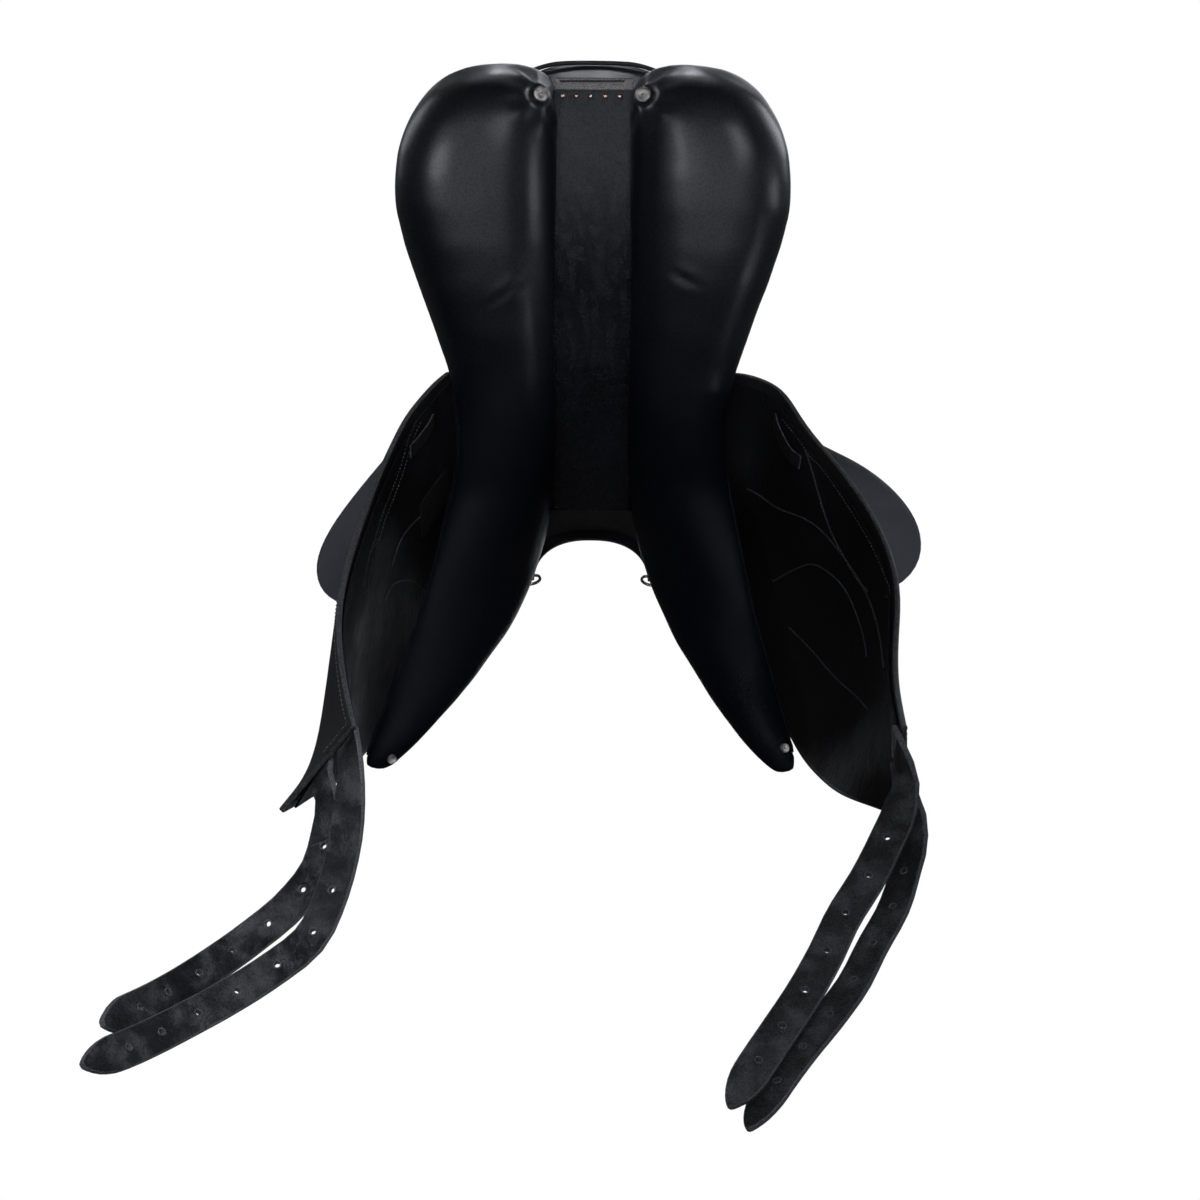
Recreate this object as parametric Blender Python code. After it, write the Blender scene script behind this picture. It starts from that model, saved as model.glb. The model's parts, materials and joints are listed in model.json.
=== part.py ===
"""A monoflap saddle as separate pieces, each one closed body.

Tables are in millimetres and are scaled to metres when a mesh is made. X runs across the
saddle, Y from cantle to pommel, Z up. The origin is the middle of the gullet strip's
underside, where a rack carries the saddle. Pieces are built for the +X side and mirrored
for the other one, except the flaps and billets, which were caught in different folds.
"""

import math

import bmesh
import bpy
import numpy as np
from mathutils import Vector
from mathutils.bvhtree import BVHTree

# Driving dimensions
MM = 0.001
FIT_GAP = 0.4
SURFACE_GAP = 0.8
CHANNEL_HALF = 30.0
STRIP_THICK = 2.5
STRIP_REAR = -215.0
STRIP_FRONT = 160.0
SEAT_FRONT = 188.0
SEAT_LEATHER = 2.2
TREE_THICK = 8.0
WEB_THICK = 1.2
WEB_HALF = 58.0
WELT_RADIUS = 2.2
TREE_SLOT_HALF = 22.0
TREE_SLOT_REAR = -120.0
TREE_SLOT_FRONT = 100.0
CANTLE_DISH = 35.0
PANEL_SHRINK = 2.8
FLOCKING_SHARE = 0.62
LAYER_GAP = 1.9
LINING_GAP = 0.8
ROOT_GAP = 0.9
FLAP_LEATHER = 5.0
FLAP_LINING = 2.0
SKIRT_LEATHER = 4.0
KNEE_PAD_RISE = 15.0
KEEPER_RISE = 2.6
KEEPER_BAND = 1.6
BILLET_WIDTH = 25.0
BILLET_THICK = 4.5
BILLET_HOLE = 5.0
BILLET_PITCH = 34.0
BILLET_HOLES = 7
HOLE_SIDES = 9
NAIL_RADIUS = 2.3
NAIL_X = (-25.0, -14.0, -2.5, 9.0, 20.5)
BUTTON_RADIUS = 6.5
STUD_RADIUS = 4.0
BAR_REAR = 100.0
BAR_FRONT = 160.0
BAR_LOW = 15.0
BAR_HIGH = 21.0
BAR_SLOT = 8.6
BAR_ROD = 6.0
BAR_PLATE_THICK = 3.0
CATCH_PIN_RADIUS = 1.3
PIN_GAP = 0.06
ARCH_REAR = 160.8
ARCH_FRONT = 208.0
ARCH_LINING = 2.0
CAP_THICK = 2.6
CAP_REAR = 188.6
CAP_FRONT = 216.0
DEE_X = 55.0
DEE_Y = 222.4
DEE_Z = 27.0
DEE_WIRE = 1.5


def profile(*pairs):
    """A smooth curve through the pairs that makes no overshoot and stays level past its ends."""
    at = np.array([pair[0] for pair in pairs], float)
    value = np.array([pair[1] for pair in pairs], float)
    step = np.diff(at)
    rise = np.diff(value) / step
    slope = np.zeros(len(at))
    for i in range(1, len(at) - 1):
        if rise[i - 1] * rise[i] > 0:
            before = 2 * step[i] + step[i - 1]
            after = step[i] + 2 * step[i - 1]
            slope[i] = (before + after) / (before / rise[i - 1] + after / rise[i])
    slope[0] = rise[0]
    slope[-1] = rise[-1]

    def curve(x):
        x = np.clip(x, at[0], at[-1])
        i = np.clip(np.searchsorted(at, x) - 1, 0, len(step) - 1)
        t = (x - at[i]) / step[i]
        return (
            (2 * t**3 - 3 * t**2 + 1) * value[i]
            + (t**3 - 2 * t**2 + t) * step[i] * slope[i]
            + (3 * t**2 - 2 * t**3) * value[i + 1]
            + (t**3 - t**2) * step[i] * slope[i + 1]
        )

    return curve


# Heights and widths along the saddle
gullet_z = profile(
    (-231, 83), (-215, 72), (-190, 56.2), (-165, 42.4), (-140, 30.5), (-100, 15.6), (-60, 5.6),
    (-20, 0.6), (0, 0), (40, 2.5), (80, 8.5), (100, 13), (150, 32), (180, 52), (208, 79),
)
seat_half = profile(
    (-206, 10), (-205, 26), (-203, 37), (-200, 47), (-195, 59), (-188, 71), (-180, 82),
    (-160, 106), (-140, 122), (-110, 134), (-80, 136), (-60, 132), (-20, 115), (20, 98),
    (60, 88), (85, 82), (165, 82), (180, 73), (188, 69),
)
seat_mid = profile(
    (-206, 150), (-203, 148), (-190, 134), (-170, 108), (-130, 78), (-90, 64), (-50, 58),
    (0, 58), (50, 64), (100, 78), (140, 93), (180, 108), (188, 110),
)
seat_rim = profile(
    (-206, 150), (-190, 146), (-170, 139), (-130, 118), (-90, 94), (-50, 70), (0, 45), (50, 34),
    (100, 31), (150, 36), (188, 50),
)

# Panel rows: the edge by the gullet, the outer edge, and how far the crown stands out
PANEL_ROWS = (
    ((70, -231, 73), (90, -231, 71), 5),
    ((56, -226, 75), (112, -225, 64), 16),
    ((40, -217, 73), (130, -216, 55), 26),
    ((32, -206, 66), (141, -204, 48), 31),
    ((30, -190, 56.2), (150, -190, 40), 34),
    ((30, -165, 42.4), (157, -165, 26), 35),
    ((30, -140, 30.5), (157, -140, 15), 35),
    ((30, -100, 15.6), (147, -100, 4), 33),
    ((30, -60, 5.6), (134, -60, -2), 31),
    ((30, -11, 0.2), (120, -11, -5), 29),
    ((30, 40, 2.5), (110, 40, -18), 28),
    ((32, 80, 8.5), (115, 80, -26), 28),
    ((34, 100, 12), (119, 97, -33), 29),
    ((40, 140, 25), (128, 125, -60), 30),
    ((47, 180, 35), (138, 155, -92), 31),
    ((52, 196, 24), (144, 170, -108), 31),
    ((56, 208, 5), (150, 182, -122), 31),
    ((65, 217, -27), (156, 195, -136), 31),
    ((78, 226, -60), (162, 205, -148), 30),
    ((94, 233, -92), (167, 215, -160), 29),
    ((110, 240, -125), (172, 224, -172), 27),
    ((127, 246, -150), (176, 231, -186), 24),
    ((143, 252, -172), (180, 238, -198), 20),
    ((156, 256, -188), (182, 243, -206), 14),
    ((167, 260, -201), (182, 250, -211), 6),
)
SHARED_ROWS = 12
inner_x = profile(*[(row[0][1], row[0][0]) for row in PANEL_ROWS])
inner_z = profile(*[(row[0][1], row[0][2]) for row in PANEL_ROWS])
outer_x = profile(*[(row[1][1], row[1][0]) for row in PANEL_ROWS[:SHARED_ROWS]])
outer_z = profile(*[(row[1][1], row[1][2]) for row in PANEL_ROWS[:SHARED_ROWS]])
tree_slope = profile((60, 0.33), (80, 0.39), (100, 0.49), (125, 0.75), (150, 0.95), (188, 1.0))
head_lift = profile((140, 0), (165, 4), (188, 4.5))
dish_weight = profile((-130, 1), (-60, 0.45), (0, 0))

SEAT_STATIONS = (
    -206, -205, -203, -200, -195, -188, -178, -165, -150, -135, -118, -100, -80, -60, -35, -11,
    15, 40, 60, 80, 100, 120, 142, 165, 176, 188,
)
ACROSS = np.array([0, 0.15, 0.32, 0.5, 0.66, 0.8, 0.9, 0.96, 1.0])
ACROSS = np.concatenate([-ACROSS[:0:-1], ACROSS])
ACROSS_FOAM = np.array([-1, -0.96, -0.88, -0.7, -0.45, -0.2, 0, 0.2, 0.45, 0.7, 0.88, 0.96, 1])
ACROSS_WEB = np.array([-1, -0.6, -0.25, 0.25, 0.6, 1])

# Flap rows: rear point and front point, for the saddle's right and left
FLAP_ROWS = {
    1: (
        ((98, 8, 6), (74, 184, 5)),
        ((120, 3, 3), (100, 212, 17)),
        ((152, 4, -18), (121, 241, 0)),
        ((169, 18, -55), (143, 267, -42)),
        ((190, 24, -95), (160, 283, -88)),
        ((208, 28, -140), (172, 288, -125)),
        ((225, 39, -185), (179, 283, -157)),
        ((233, 55, -232), (186, 258, -208)),
        ((226, 68, -275), (193, 228, -262)),
        ((222, 74, -320), (199, 193, -314)),
        ((221, 68, -360), (212, 163, -360)),
        ((220, 62, -392), (228, 142, -397)),
    ),
    -1: (
        ((98, 8, 6), (74, 184, 5)),
        ((116, 4, 2), (100, 212, 17)),
        ((130, 8, -18), (121, 241, 0)),
        ((147, 14, -52), (143, 267, -42)),
        ((154, 13, -95), (160, 283, -88)),
        ((162, 16, -135), (178, 288, -125)),
        ((171, 24, -185), (189, 283, -157)),
        ((178, 32, -232), (194, 258, -208)),
        ((181, 36, -280), (200, 228, -262)),
        ((178, 43, -325), (204, 193, -314)),
        ((170, 55, -362), (210, 163, -360)),
        ((162, 66, -392), (219, 142, -397)),
    ),
}

# Free part of each billet, from below the flap to its tip, and how far its face is rolled
BILLETS = {
    "billet_front_left": (
        -1, 0.52, 15,
        ((-184, 116, -412), (-184, 135, -428), (-188, 149, -443), (-208, 169, -464),
         (-234, 184, -481), (-254, 182, -508), (-272, 177, -534), (-287, 166, -562),
         (-300, 151, -590), (-311, 136, -613)),
    ),
    "billet_rear_left": (
        -1, 0.17, 22,
        ((-166, 88, -410), (-166, 103, -427), (-169, 126, -454), (-177, 148, -479),
         (-189, 160, -508), (-217, 174, -527), (-242, 175, -551), (-264, 170, -576),
         (-283, 161, -602), (-299, 147, -629), (-316, 132, -654)),
    ),
    "billet_rear_right": (
        1, 0.18, 25,
        ((224, 86, -413), (219, 104, -433), (209, 118, -450), (194, 127, -479),
         (176, 137, -507), (162, 144, -537), (146, 153, -565), (129, 157, -594),
         (112, 159, -624), (94, 161, -659)),
    ),
    "billet_front_right": (
        1, 0.57, 48,
        ((231, 116, -411), (232, 131, -429), (224, 148, -451), (213, 152, -483),
         (197, 159, -512), (182, 165, -542), (163, 170, -570), (143, 173, -598),
         (125, 175, -627), (106, 179, -661)),
    ),
}
VIEW_AXIS = np.array([0.0, 0.574, 0.819])

for old in list(bpy.data.objects):
    bpy.data.objects.remove(old, do_unlink=True)

saddle = bpy.data.collections.new("monoflap_saddle")
cutters = bpy.data.collections.new("cutters")
bpy.context.scene.collection.children.link(saddle)
bpy.context.scene.collection.children.link(cutters)
cutters.hide_render = True


def material(name, colour, roughness, metallic=0.0):
    made = bpy.data.materials.new(name)
    made.use_nodes = True
    shader = made.node_tree.nodes["Principled BSDF"]
    shader.inputs["Base Color"].default_value = (*colour, 1)
    shader.inputs["Roughness"].default_value = roughness
    shader.inputs["Metallic"].default_value = metallic
    made.diffuse_color = (*colour, 1)
    return made


PANEL_BLACK = material("panel_leather", (0.018, 0.019, 0.022), 0.42)
SEAT_BLACK = material("seat_leather", (0.022, 0.022, 0.024), 0.45)
SKIRT_GREY = material("skirt_leather", (0.028, 0.031, 0.035), 0.6)
FLAP_BLACK = material("flap_leather", (0.024, 0.025, 0.028), 0.5)
LINING_BLACK = material("lining_leather", (0.014, 0.014, 0.016), 0.55)
ARCH_GREY = material("arch_lining", (0.05, 0.048, 0.042), 0.75)
BILLET_GREY = material("billet_leather", (0.045, 0.048, 0.056), 0.55)
COPPER = material("copper_nail", (0.62, 0.33, 0.2), 0.3, 1.0)
NICKEL = material("aged_nickel", (0.5, 0.48, 0.44), 0.35, 1.0)
STEEL = material("bar_steel", (0.55, 0.55, 0.55), 0.3, 1.0)
TREE_BROWN = material("tree_laminate", (0.3, 0.19, 0.1), 0.6)
WOOL = material("flocking", (0.72, 0.68, 0.6), 0.95)
FOAM = material("seat_foam", (0.75, 0.66, 0.42), 0.9)
WEBBING = material("seat_webbing", (0.55, 0.5, 0.42), 0.9)
FACING = material("bare_facing", (0.4, 0.34, 0.27), 0.8)
HOOK_PILE = material("hook_patch", (0.02, 0.02, 0.02), 0.95)


def make(name, points, faces, look, home=None):
    mesh = bpy.data.meshes.new(name)
    mesh.from_pydata([tuple(float(c) * MM for c in p) for p in points], [], faces)
    mesh.validate()
    shaper = bmesh.new()
    shaper.from_mesh(mesh)
    bmesh.ops.recalc_face_normals(shaper, faces=shaper.faces)
    if shaper.calc_volume(signed=True) < 0:
        bmesh.ops.reverse_faces(shaper, faces=shaper.faces)
    shaper.to_mesh(mesh)
    shaper.free()
    if look:
        mesh.materials.append(look)
    made = bpy.data.objects.new(name, mesh)
    (home or saddle).objects.link(made)
    if home is cutters:
        made.display_type = "WIRE"
    return made


def loft(name, rings, look, home=None, joined=False):
    """One body through closed rings of equal count, capped, or joined end to end."""
    rings = [np.asarray(ring, float) for ring in rings]
    count = len(rings[0])
    points = np.concatenate(rings)
    faces = []
    for i in range(len(rings) if joined else len(rings) - 1):
        a = i * count
        b = (i + 1) % len(rings) * count
        for j in range(count):
            k = (j + 1) % count
            faces.append((a + j, a + k, b + k, b + j))
    if not joined:
        faces.append(tuple(range(count))[::-1])
        faces.append(tuple(range(len(points) - count, len(points))))
    return make(name, points, faces, look, home)


def mirrored(rings, side):
    return [np.asarray(ring, float) * (side, 1, 1) for ring in rings]


def normals_of(grid):
    """Unit normals of a grid of points, from the differences along its two directions."""
    down = np.gradient(grid, axis=0)
    along = np.gradient(grid, axis=1)
    normal = np.cross(down, along)
    return normal / np.linalg.norm(normal, axis=2, keepdims=True)


def sheet(name, grid, near, far, look, normal=None):
    """A leather sheet between two offsets from a grid of points."""
    normal = normals_of(grid) if normal is None else normal
    near = np.broadcast_to(near, grid.shape[:2])[..., None]
    far = np.broadcast_to(far, grid.shape[:2])[..., None]
    rows, columns = grid.shape[:2]
    points = np.concatenate([(grid + normal * near).reshape(-1, 3), (grid + normal * far).reshape(-1, 3)])
    other = rows * columns
    faces = []
    for i in range(rows - 1):
        for j in range(columns - 1):
            a = i * columns + j
            quad = (a, a + 1, a + columns + 1, a + columns)
            faces.append(quad)
            faces.append(tuple(p + other for p in quad)[::-1])
    rim = [j for j in range(columns)]
    rim += [i * columns + columns - 1 for i in range(1, rows)]
    rim += [(rows - 1) * columns + j for j in range(columns - 2, -1, -1)]
    rim += [i * columns for i in range(rows - 2, 0, -1)]
    for a, b in zip(rim, rim[1:] + rim[:1]):
        faces.append((a, b, b + other, a + other))
    return make(name, points, faces, look)


def box(name, low, high, look, home=None):
    low = np.array(low, float)
    high = np.array(high, float)
    ring = [(0, 0), (1, 0), (1, 1), (0, 1)]
    span = high - low
    rings = [[low + span * (x, y, z) for x, y in ring] for z in (0, 1)]
    return loft(name, rings, look, home)


def around(direction):
    """Two unit vectors square to a direction."""
    direction = np.array(direction, float) / np.linalg.norm(direction)
    helper = np.array([0.0, 0.0, 1.0]) if abs(direction[2]) < 0.9 else np.array([1.0, 0.0, 0.0])
    first = np.cross(direction, helper)
    first /= np.linalg.norm(first)
    return direction, first, np.cross(direction, first)


def turned(name, base, direction, outline, sides, look, home=None):
    """A turned body: pairs of radius and height, from the pole on top to the edge of its base."""
    direction, first, second = around(direction)
    base = np.array(base, float)
    rings = []
    for radius, height in outline:
        ring = []
        for k in range(sides):
            angle = 2 * math.pi * k / sides
            spoke = first * math.cos(angle) + second * math.sin(angle)
            ring.append(base + spoke * radius + direction * height)
        rings.append(ring)
    return loft(name, rings, look, home)


def tube(name, path, radius, sides, look, joined=False):
    """A round wire along a path that lies in one plane or bends gently."""
    path = np.array(path, float)
    if joined:
        along = np.roll(path, -1, axis=0) - np.roll(path, 1, axis=0)
    else:
        along = np.gradient(path, axis=0)
    along /= np.linalg.norm(along, axis=1, keepdims=True)
    across = around(along[0])[1]
    rings = []
    for point, direction in zip(path, along):
        across = across - direction * np.dot(across, direction)
        across /= np.linalg.norm(across)
        upward = np.cross(direction, across)
        turns = [2 * math.pi * k / sides for k in range(sides)]
        rings.append([point + radius * (across * math.cos(a) + upward * math.sin(a)) for a in turns])
    return loft(name, rings, look, joined=joined)


def combine(target, other, operation="DIFFERENCE"):
    modifier = target.modifiers.new(other.name, "BOOLEAN")
    modifier.operation = operation
    modifier.solver = "EXACT"
    modifier.object = other


def dish(x, y):
    reach = np.hypot(np.abs(x) / 135, (y + 40) / 165)
    return CANTLE_DISH * np.minimum(reach, 1.03) ** 3 * dish_weight(y)


def panel_top(x, y):
    """Height of the panels' upper face where the tree rests on it."""
    x = np.abs(x)
    slope = (outer_z(y) - inner_z(y)) / (outer_x(y) - inner_x(y))
    return inner_z(y) + slope * (x - inner_x(y)) + dish(x, y)


def tree_under(x, y):
    """Height of the tree's underside, clear of the strip in the channel and of the panels."""
    near = inner_x(y)
    x = np.maximum(np.abs(x), near)

    def over_panel(x):
        if y <= 60:
            return panel_top(x, y) + SURFACE_GAP
        return inner_z(y) + SURFACE_GAP + 1 + head_lift(y) - tree_slope(y) * (x - near)

    strip_top = gullet_z(y) + STRIP_THICK + 2 * SURFACE_GAP + head_lift(y)
    bump = max(0.0, strip_top - over_panel(near))
    return over_panel(x) + bump * np.maximum(0, 1 - (x - near) / 25)


def seat_top(x, y):
    fraction = np.minimum(np.abs(x) / seat_half(y), 1)
    crowned = seat_mid(y) + (seat_rim(y) - seat_mid(y)) * fraction**2.4
    return crowned - 5 * np.maximum(0, (fraction - 0.9) / 0.1) ** 2.2


def layer(name, stations, half, low, high, look, home=None, across=ACROSS):
    rings = []
    for y in stations:
        xs = across * half(y)
        under = [(x, y, z) for x, z in zip(xs, low(xs, y))]
        over = [(x, y, z) for x, z in zip(xs, high(xs, y))]
        rings.append(under + over[::-1])
    return loft(name, rings, look, home)


# Tree, webbing, foam and the seat's cover
TREE_UP = SURFACE_GAP
WEB_UP = TREE_UP + TREE_THICK + LAYER_GAP
FOAM_UP = WEB_UP + WEB_THICK + LAYER_GAP
core_stations = [y for y in SEAT_STATIONS if y > -204]
core_stations[-1] = SEAT_FRONT - FIT_GAP


def core_half(y):
    return max(seat_half(y) - SEAT_LEATHER - FIT_GAP, 4)


def cavity_half(y):
    return max(seat_half(y) - SEAT_LEATHER, 4)


def raised(up):
    def height(x, y):
        return tree_under(x, y) + up

    return height


def lowered_top(down):
    def height(x, y):
        return seat_top(x, y) - down

    return height


tree = layer(
    "tree", core_stations, core_half, raised(TREE_UP), raised(TREE_UP + TREE_THICK), TREE_BROWN,
    across=ACROSS_FOAM,
)
slot = box(
    "tree_slot_cutter",
    (-TREE_SLOT_HALF, TREE_SLOT_REAR, -60),
    (TREE_SLOT_HALF, TREE_SLOT_FRONT, 120),
    None,
    cutters,
)
combine(tree, slot)
web_stations = [y for y in SEAT_STATIONS if -152 < y < 102]
layer(
    "seat_webbing", web_stations, lambda y: WEB_HALF, raised(WEB_UP), raised(WEB_UP + WEB_THICK),
    WEBBING, across=ACROSS_WEB,
)
layer(
    "seat_foam", core_stations, core_half, raised(FOAM_UP), lowered_top(SEAT_LEATHER + 1.8),
    FOAM, across=ACROSS_FOAM,
)
cover = layer("seat_leather", SEAT_STATIONS, seat_half, raised(TREE_UP), seat_top, SEAT_BLACK)
hollow_stations = [y for y in SEAT_STATIONS if y > -204]
hollow_stations[0] = -203.4
hollow_stations[-1] = SEAT_FRONT + 4
hollow = layer(
    "seat_hollow_cutter", hollow_stations, cavity_half, raised(-12), lowered_top(SEAT_LEATHER),
    None, cutters,
)
combine(cover, hollow)

# Welt round the cantle's rim
rim_stations = [y for y in SEAT_STATIONS if -206 < y <= 15]
rim = [(-seat_half(y), y, seat_rim(y)) for y in rim_stations[::-1]]
rim += [(seat_half(y), y, seat_rim(y)) for y in rim_stations]
rim = np.array(rim)
flat = np.gradient(rim[:, :2], axis=0)
flat /= np.linalg.norm(flat, axis=1, keepdims=True)
outward = np.stack([flat[:, 1], -flat[:, 0]], axis=1)
middle = rim[:, :2].mean(axis=0)
if np.sum(outward * (rim[:, :2] - middle)) < 0:
    outward = -outward
welt_path = rim.copy()
welt_path[:, :2] += outward * (WELT_RADIUS + 1.2)
welt_path[:, 2] -= 6.5
tube("cantle_welt", welt_path, WELT_RADIUS, 6, SEAT_BLACK)

# Strip in the gullet, its nails and the bare facing behind them
strip_stations = np.concatenate([np.linspace(STRIP_REAR, -30, 14), np.linspace(0, STRIP_FRONT, 9)])
strip_half = CHANNEL_HALF - 1
rings = []
for y in strip_stations:
    low = gullet_z(y)
    edge = min(strip_half, inner_x(y) - 1)
    xs = np.array([-1, -0.6, -0.2, 0.2, 0.6, 1]) * edge
    rings.append([(x, y, low) for x in xs] + [(x, y, low + STRIP_THICK) for x in xs[::-1]])
loft("gullet_strip", rings, PANEL_BLACK)

NAIL_Y = STRIP_REAR + 4
nail_slope = (gullet_z(NAIL_Y + 1) - gullet_z(NAIL_Y - 1)) / 2
nail_down = np.array([0, nail_slope, -1]) / math.hypot(1, nail_slope)
nail_outline = ((0.25, 1.5), (1.1, 1.3), (1.9, 0.75), (NAIL_RADIUS, 0.0))
for number, x in enumerate(NAIL_X, 1):
    foot = np.array([x, NAIL_Y, gullet_z(NAIL_Y)]) + nail_down * 0.25
    turned(f"gullet_nail_{number}", foot, nail_down, nail_outline, 12, COPPER)

FACING_Y = -209.5
facing_low = gullet_z(FACING_Y - 1.2) + STRIP_THICK + 0.3
box(
    "cantle_facing",
    (-31, FACING_Y - 1.2, facing_low),
    (31, FACING_Y + 1.2, facing_low + 35),
    FACING,
)

# Panels and their flocking
CROWN_A = np.array([0.004, 0.03, 0.09, 0.19, 0.33, 0.5, 0.67, 0.81, 0.91, 0.97, 0.996])
TOP_A = np.array([0.993, 0.97, 0.93, 0.88, 0.72, 0.55, 0.38, 0.2, 0.0])


def panel_rows(step):
    """The rows sampled at smaller steps, so that the panel bends smoothly."""
    inner = np.array([row[0] for row in PANEL_ROWS], float)
    outer = np.array([row[1] for row in PANEL_ROWS], float)
    deep = np.array([row[2] for row in PANEL_ROWS], float)
    count = np.arange(len(PANEL_ROWS))
    finer = np.linspace(0, len(PANEL_ROWS) - 1, int(round((len(PANEL_ROWS) - 1) / step)) + 1)
    curves = [profile(*zip(count, column)) for column in (*inner.T, *outer.T, deep)]
    return np.array([[curve(at) for curve in curves] for at in finer])


def panel_rings(side, rows):
    inner = rows[:, 0:3]
    outer = rows[:, 3:6]
    chord = outer - inner
    spine = np.gradient((inner + outer) / 2, axis=0)
    normal = np.cross(spine, chord)
    normal /= np.linalg.norm(normal, axis=1, keepdims=True)
    if normal[len(normal) // 2, 2] > 0:
        normal = -normal
    rings = []
    for i, row in enumerate(rows):
        deep = row[6]
        ring = []
        for a in CROWN_A:
            crown = (1 - abs(2 * a - 1) ** 2.6) ** 0.6
            ring.append(inner[i] + chord[i] * a + normal[i] * deep * crown)
        for a in TOP_A:
            point = inner[i] + chord[i] * a
            rounded = math.sqrt(max(0, 1 - max(0, (a - 0.88) / 0.12) ** 2))
            past_end = math.sqrt(max(0, 1 - (max(0, -204 - point[1]) / 28) ** 2))
            pressed = 1.2 * dish_weight(point[1]) if deep > 20 else 0
            ring.append(point + (0, 0, dish(point[0], point[1]) * rounded * past_end - pressed * rounded))
        ring = np.array(ring)
        if side > 0:
            ring[:, 0] -= 0.09 * np.maximum(0, -60 - ring[:, 2])
        rings.append(ring)
    return rings


def shrunk(rings, by):
    smaller = []
    for ring in rings:
        centre = ring.mean(axis=0)
        spoke = ring - centre
        length = np.linalg.norm(spoke, axis=1, keepdims=True)
        smaller.append(centre + spoke * np.maximum(0.05, 1 - by / length))
    return smaller


def scaled(ring, share):
    centre = ring.mean(axis=0)
    return centre + (ring - centre) * share


def between(rings, share):
    """The rings with the first and last one moved a share of the way inwards."""
    rings = [ring.copy() for ring in rings]
    first = rings[0] + (rings[1] - rings[0]) * share
    last = rings[-1] + (rings[-2] - rings[-1]) * share
    return [first, *rings[1:-1], last]


def mouth_half(y):
    return min(seat_half(y), outer_x(y)) - 16


rows = panel_rows(0.75)
panels = {}
for side, word in ((1, "right"), (-1, "left")):
    rings = panel_rings(side, rows)
    panel = loft(f"panel_{word}", mirrored(rings, side), PANEL_BLACK)
    core_rings = rings[1:-1]
    inside = shrunk(core_rings, PANEL_SHRINK)
    core = loft(f"panel_core_cutter_{word}", mirrored(inside, side), None, cutters)
    mouth = []
    for y in (-170, -150, -125, -100, -75, -50, -25, 0, 25, 45):
        xs = np.linspace(42, mouth_half(y), 6)
        under = [(x, y, panel_top(x, y) - 8) for x in xs]
        over = [(x, y, panel_top(x, y) + 6) for x in xs]
        mouth.append(under + over[::-1])
    gap = loft(f"panel_mouth_cutter_{word}", mirrored(mouth, side), None, cutters)
    combine(core, gap, "UNION")
    combine(panel, core)
    stuffing = between([scaled(ring, FLOCKING_SHARE)[::2] for ring in core_rings[2:-3]], 0.1)
    loft(f"panel_flocking_{word}", mirrored(stuffing, side), WOOL)
    panels[side] = panel


# Arch: its lining, the head plate, the pommel's cap and facing
def arch_path(half, top, base, power, count):
    """Points of an arch from its right foot over the top to its left foot."""
    found = []
    for k in range(count):
        angle = math.pi * k / (count - 1)
        c = math.cos(angle)
        s = math.sin(angle)
        x = math.copysign(abs(c) ** (2 / power), c) * half
        z = base + (top - base) * s ** (2 / power)
        found.append((x, z))
    return found


def arch_ring(y, inner, outer):
    return [(x, y, z) for x, z in inner] + [(x, y, z) for x, z in outer[::-1]]


rings = []
for y in np.linspace(ARCH_REAR, ARCH_FRONT, 6):
    half = inner_x(y) - 1.5
    base = inner_z(y) + 2.2
    top = gullet_z(y)
    inner = arch_path(half, top, base, 2.4, 17)
    outer = arch_path(half + ARCH_LINING, top + ARCH_LINING, base, 2.4, 17)
    rings.append(arch_ring(y, inner, outer))
loft("arch_lining", rings, ARCH_GREY)

plate_inner = arch_path(56.5, 86, 25, 2.2, 15)
plate_outer = arch_path(66, 101, 12, 2.2, 15)
loft("head_plate", [arch_ring(y, plate_inner, plate_outer) for y in (192.4, 196.6)], STEEL)

cap_half = profile((188, 69.5), (198, 69.5), (207, 67), (213, 64), (216, 61.5))
cap_high = profile((188, 111), (198, 112), (207, 110), (213, 107), (216, 104))
rings = []
for y in (CAP_REAR, 194, 200, 206, 211, 214, CAP_FRONT):
    outer = arch_path(cap_half(y), cap_high(y), 13, 2.3, 17)
    inner = arch_path(cap_half(y) - CAP_THICK, cap_high(y) - CAP_THICK, 13, 2.3, 17)
    rings.append(arch_ring(y, inner, outer))
loft("pommel_cap", rings, SEAT_BLACK)

facing_outer = arch_path(60.5, 103, 13, 2.3, 17)
facing_inner = arch_path(50, 78, 13, 2.3, 17)
facing_back = CAP_FRONT + FIT_GAP
FACING_FRONT = facing_back + 2.4
loft(
    "pommel_facing",
    [arch_ring(y, facing_inner, facing_outer) for y in (facing_back, FACING_FRONT)],
    SEAT_BLACK,
)


# Seat skirts
HINGE = ((93, 34), (88, 56), (82, 80), (80, 110), (76, 138), (72, 162), (65, 184))
EDGE = {
    1: (
        (100, 31, 39), (150, 62, 33), (200, 90, 22), (230, 105, 24), (261, 133, 28),
        (284, 166, 33), (295, 203, 38), (279, 242, 37), (205, 262, 36), (126, 240, 43), (86, 204, 54),
    ),
    -1: (
        (100, 31, 39), (136, 58, 34), (172, 100, 30), (213, 148, 18), (240, 190, 7),
        (240, 228, 7), (212, 250, 12), (165, 256, 27), (118, 236, 43), (86, 204, 54),
    ),
}


def along_table(table, share):
    """The point at a share of the way along a table of points, on a smooth curve through them."""
    count = range(len(table))
    at = share * (len(table) - 1)
    return np.array([profile(*zip(count, column))(at) for column in np.array(table, float).T])


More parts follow.
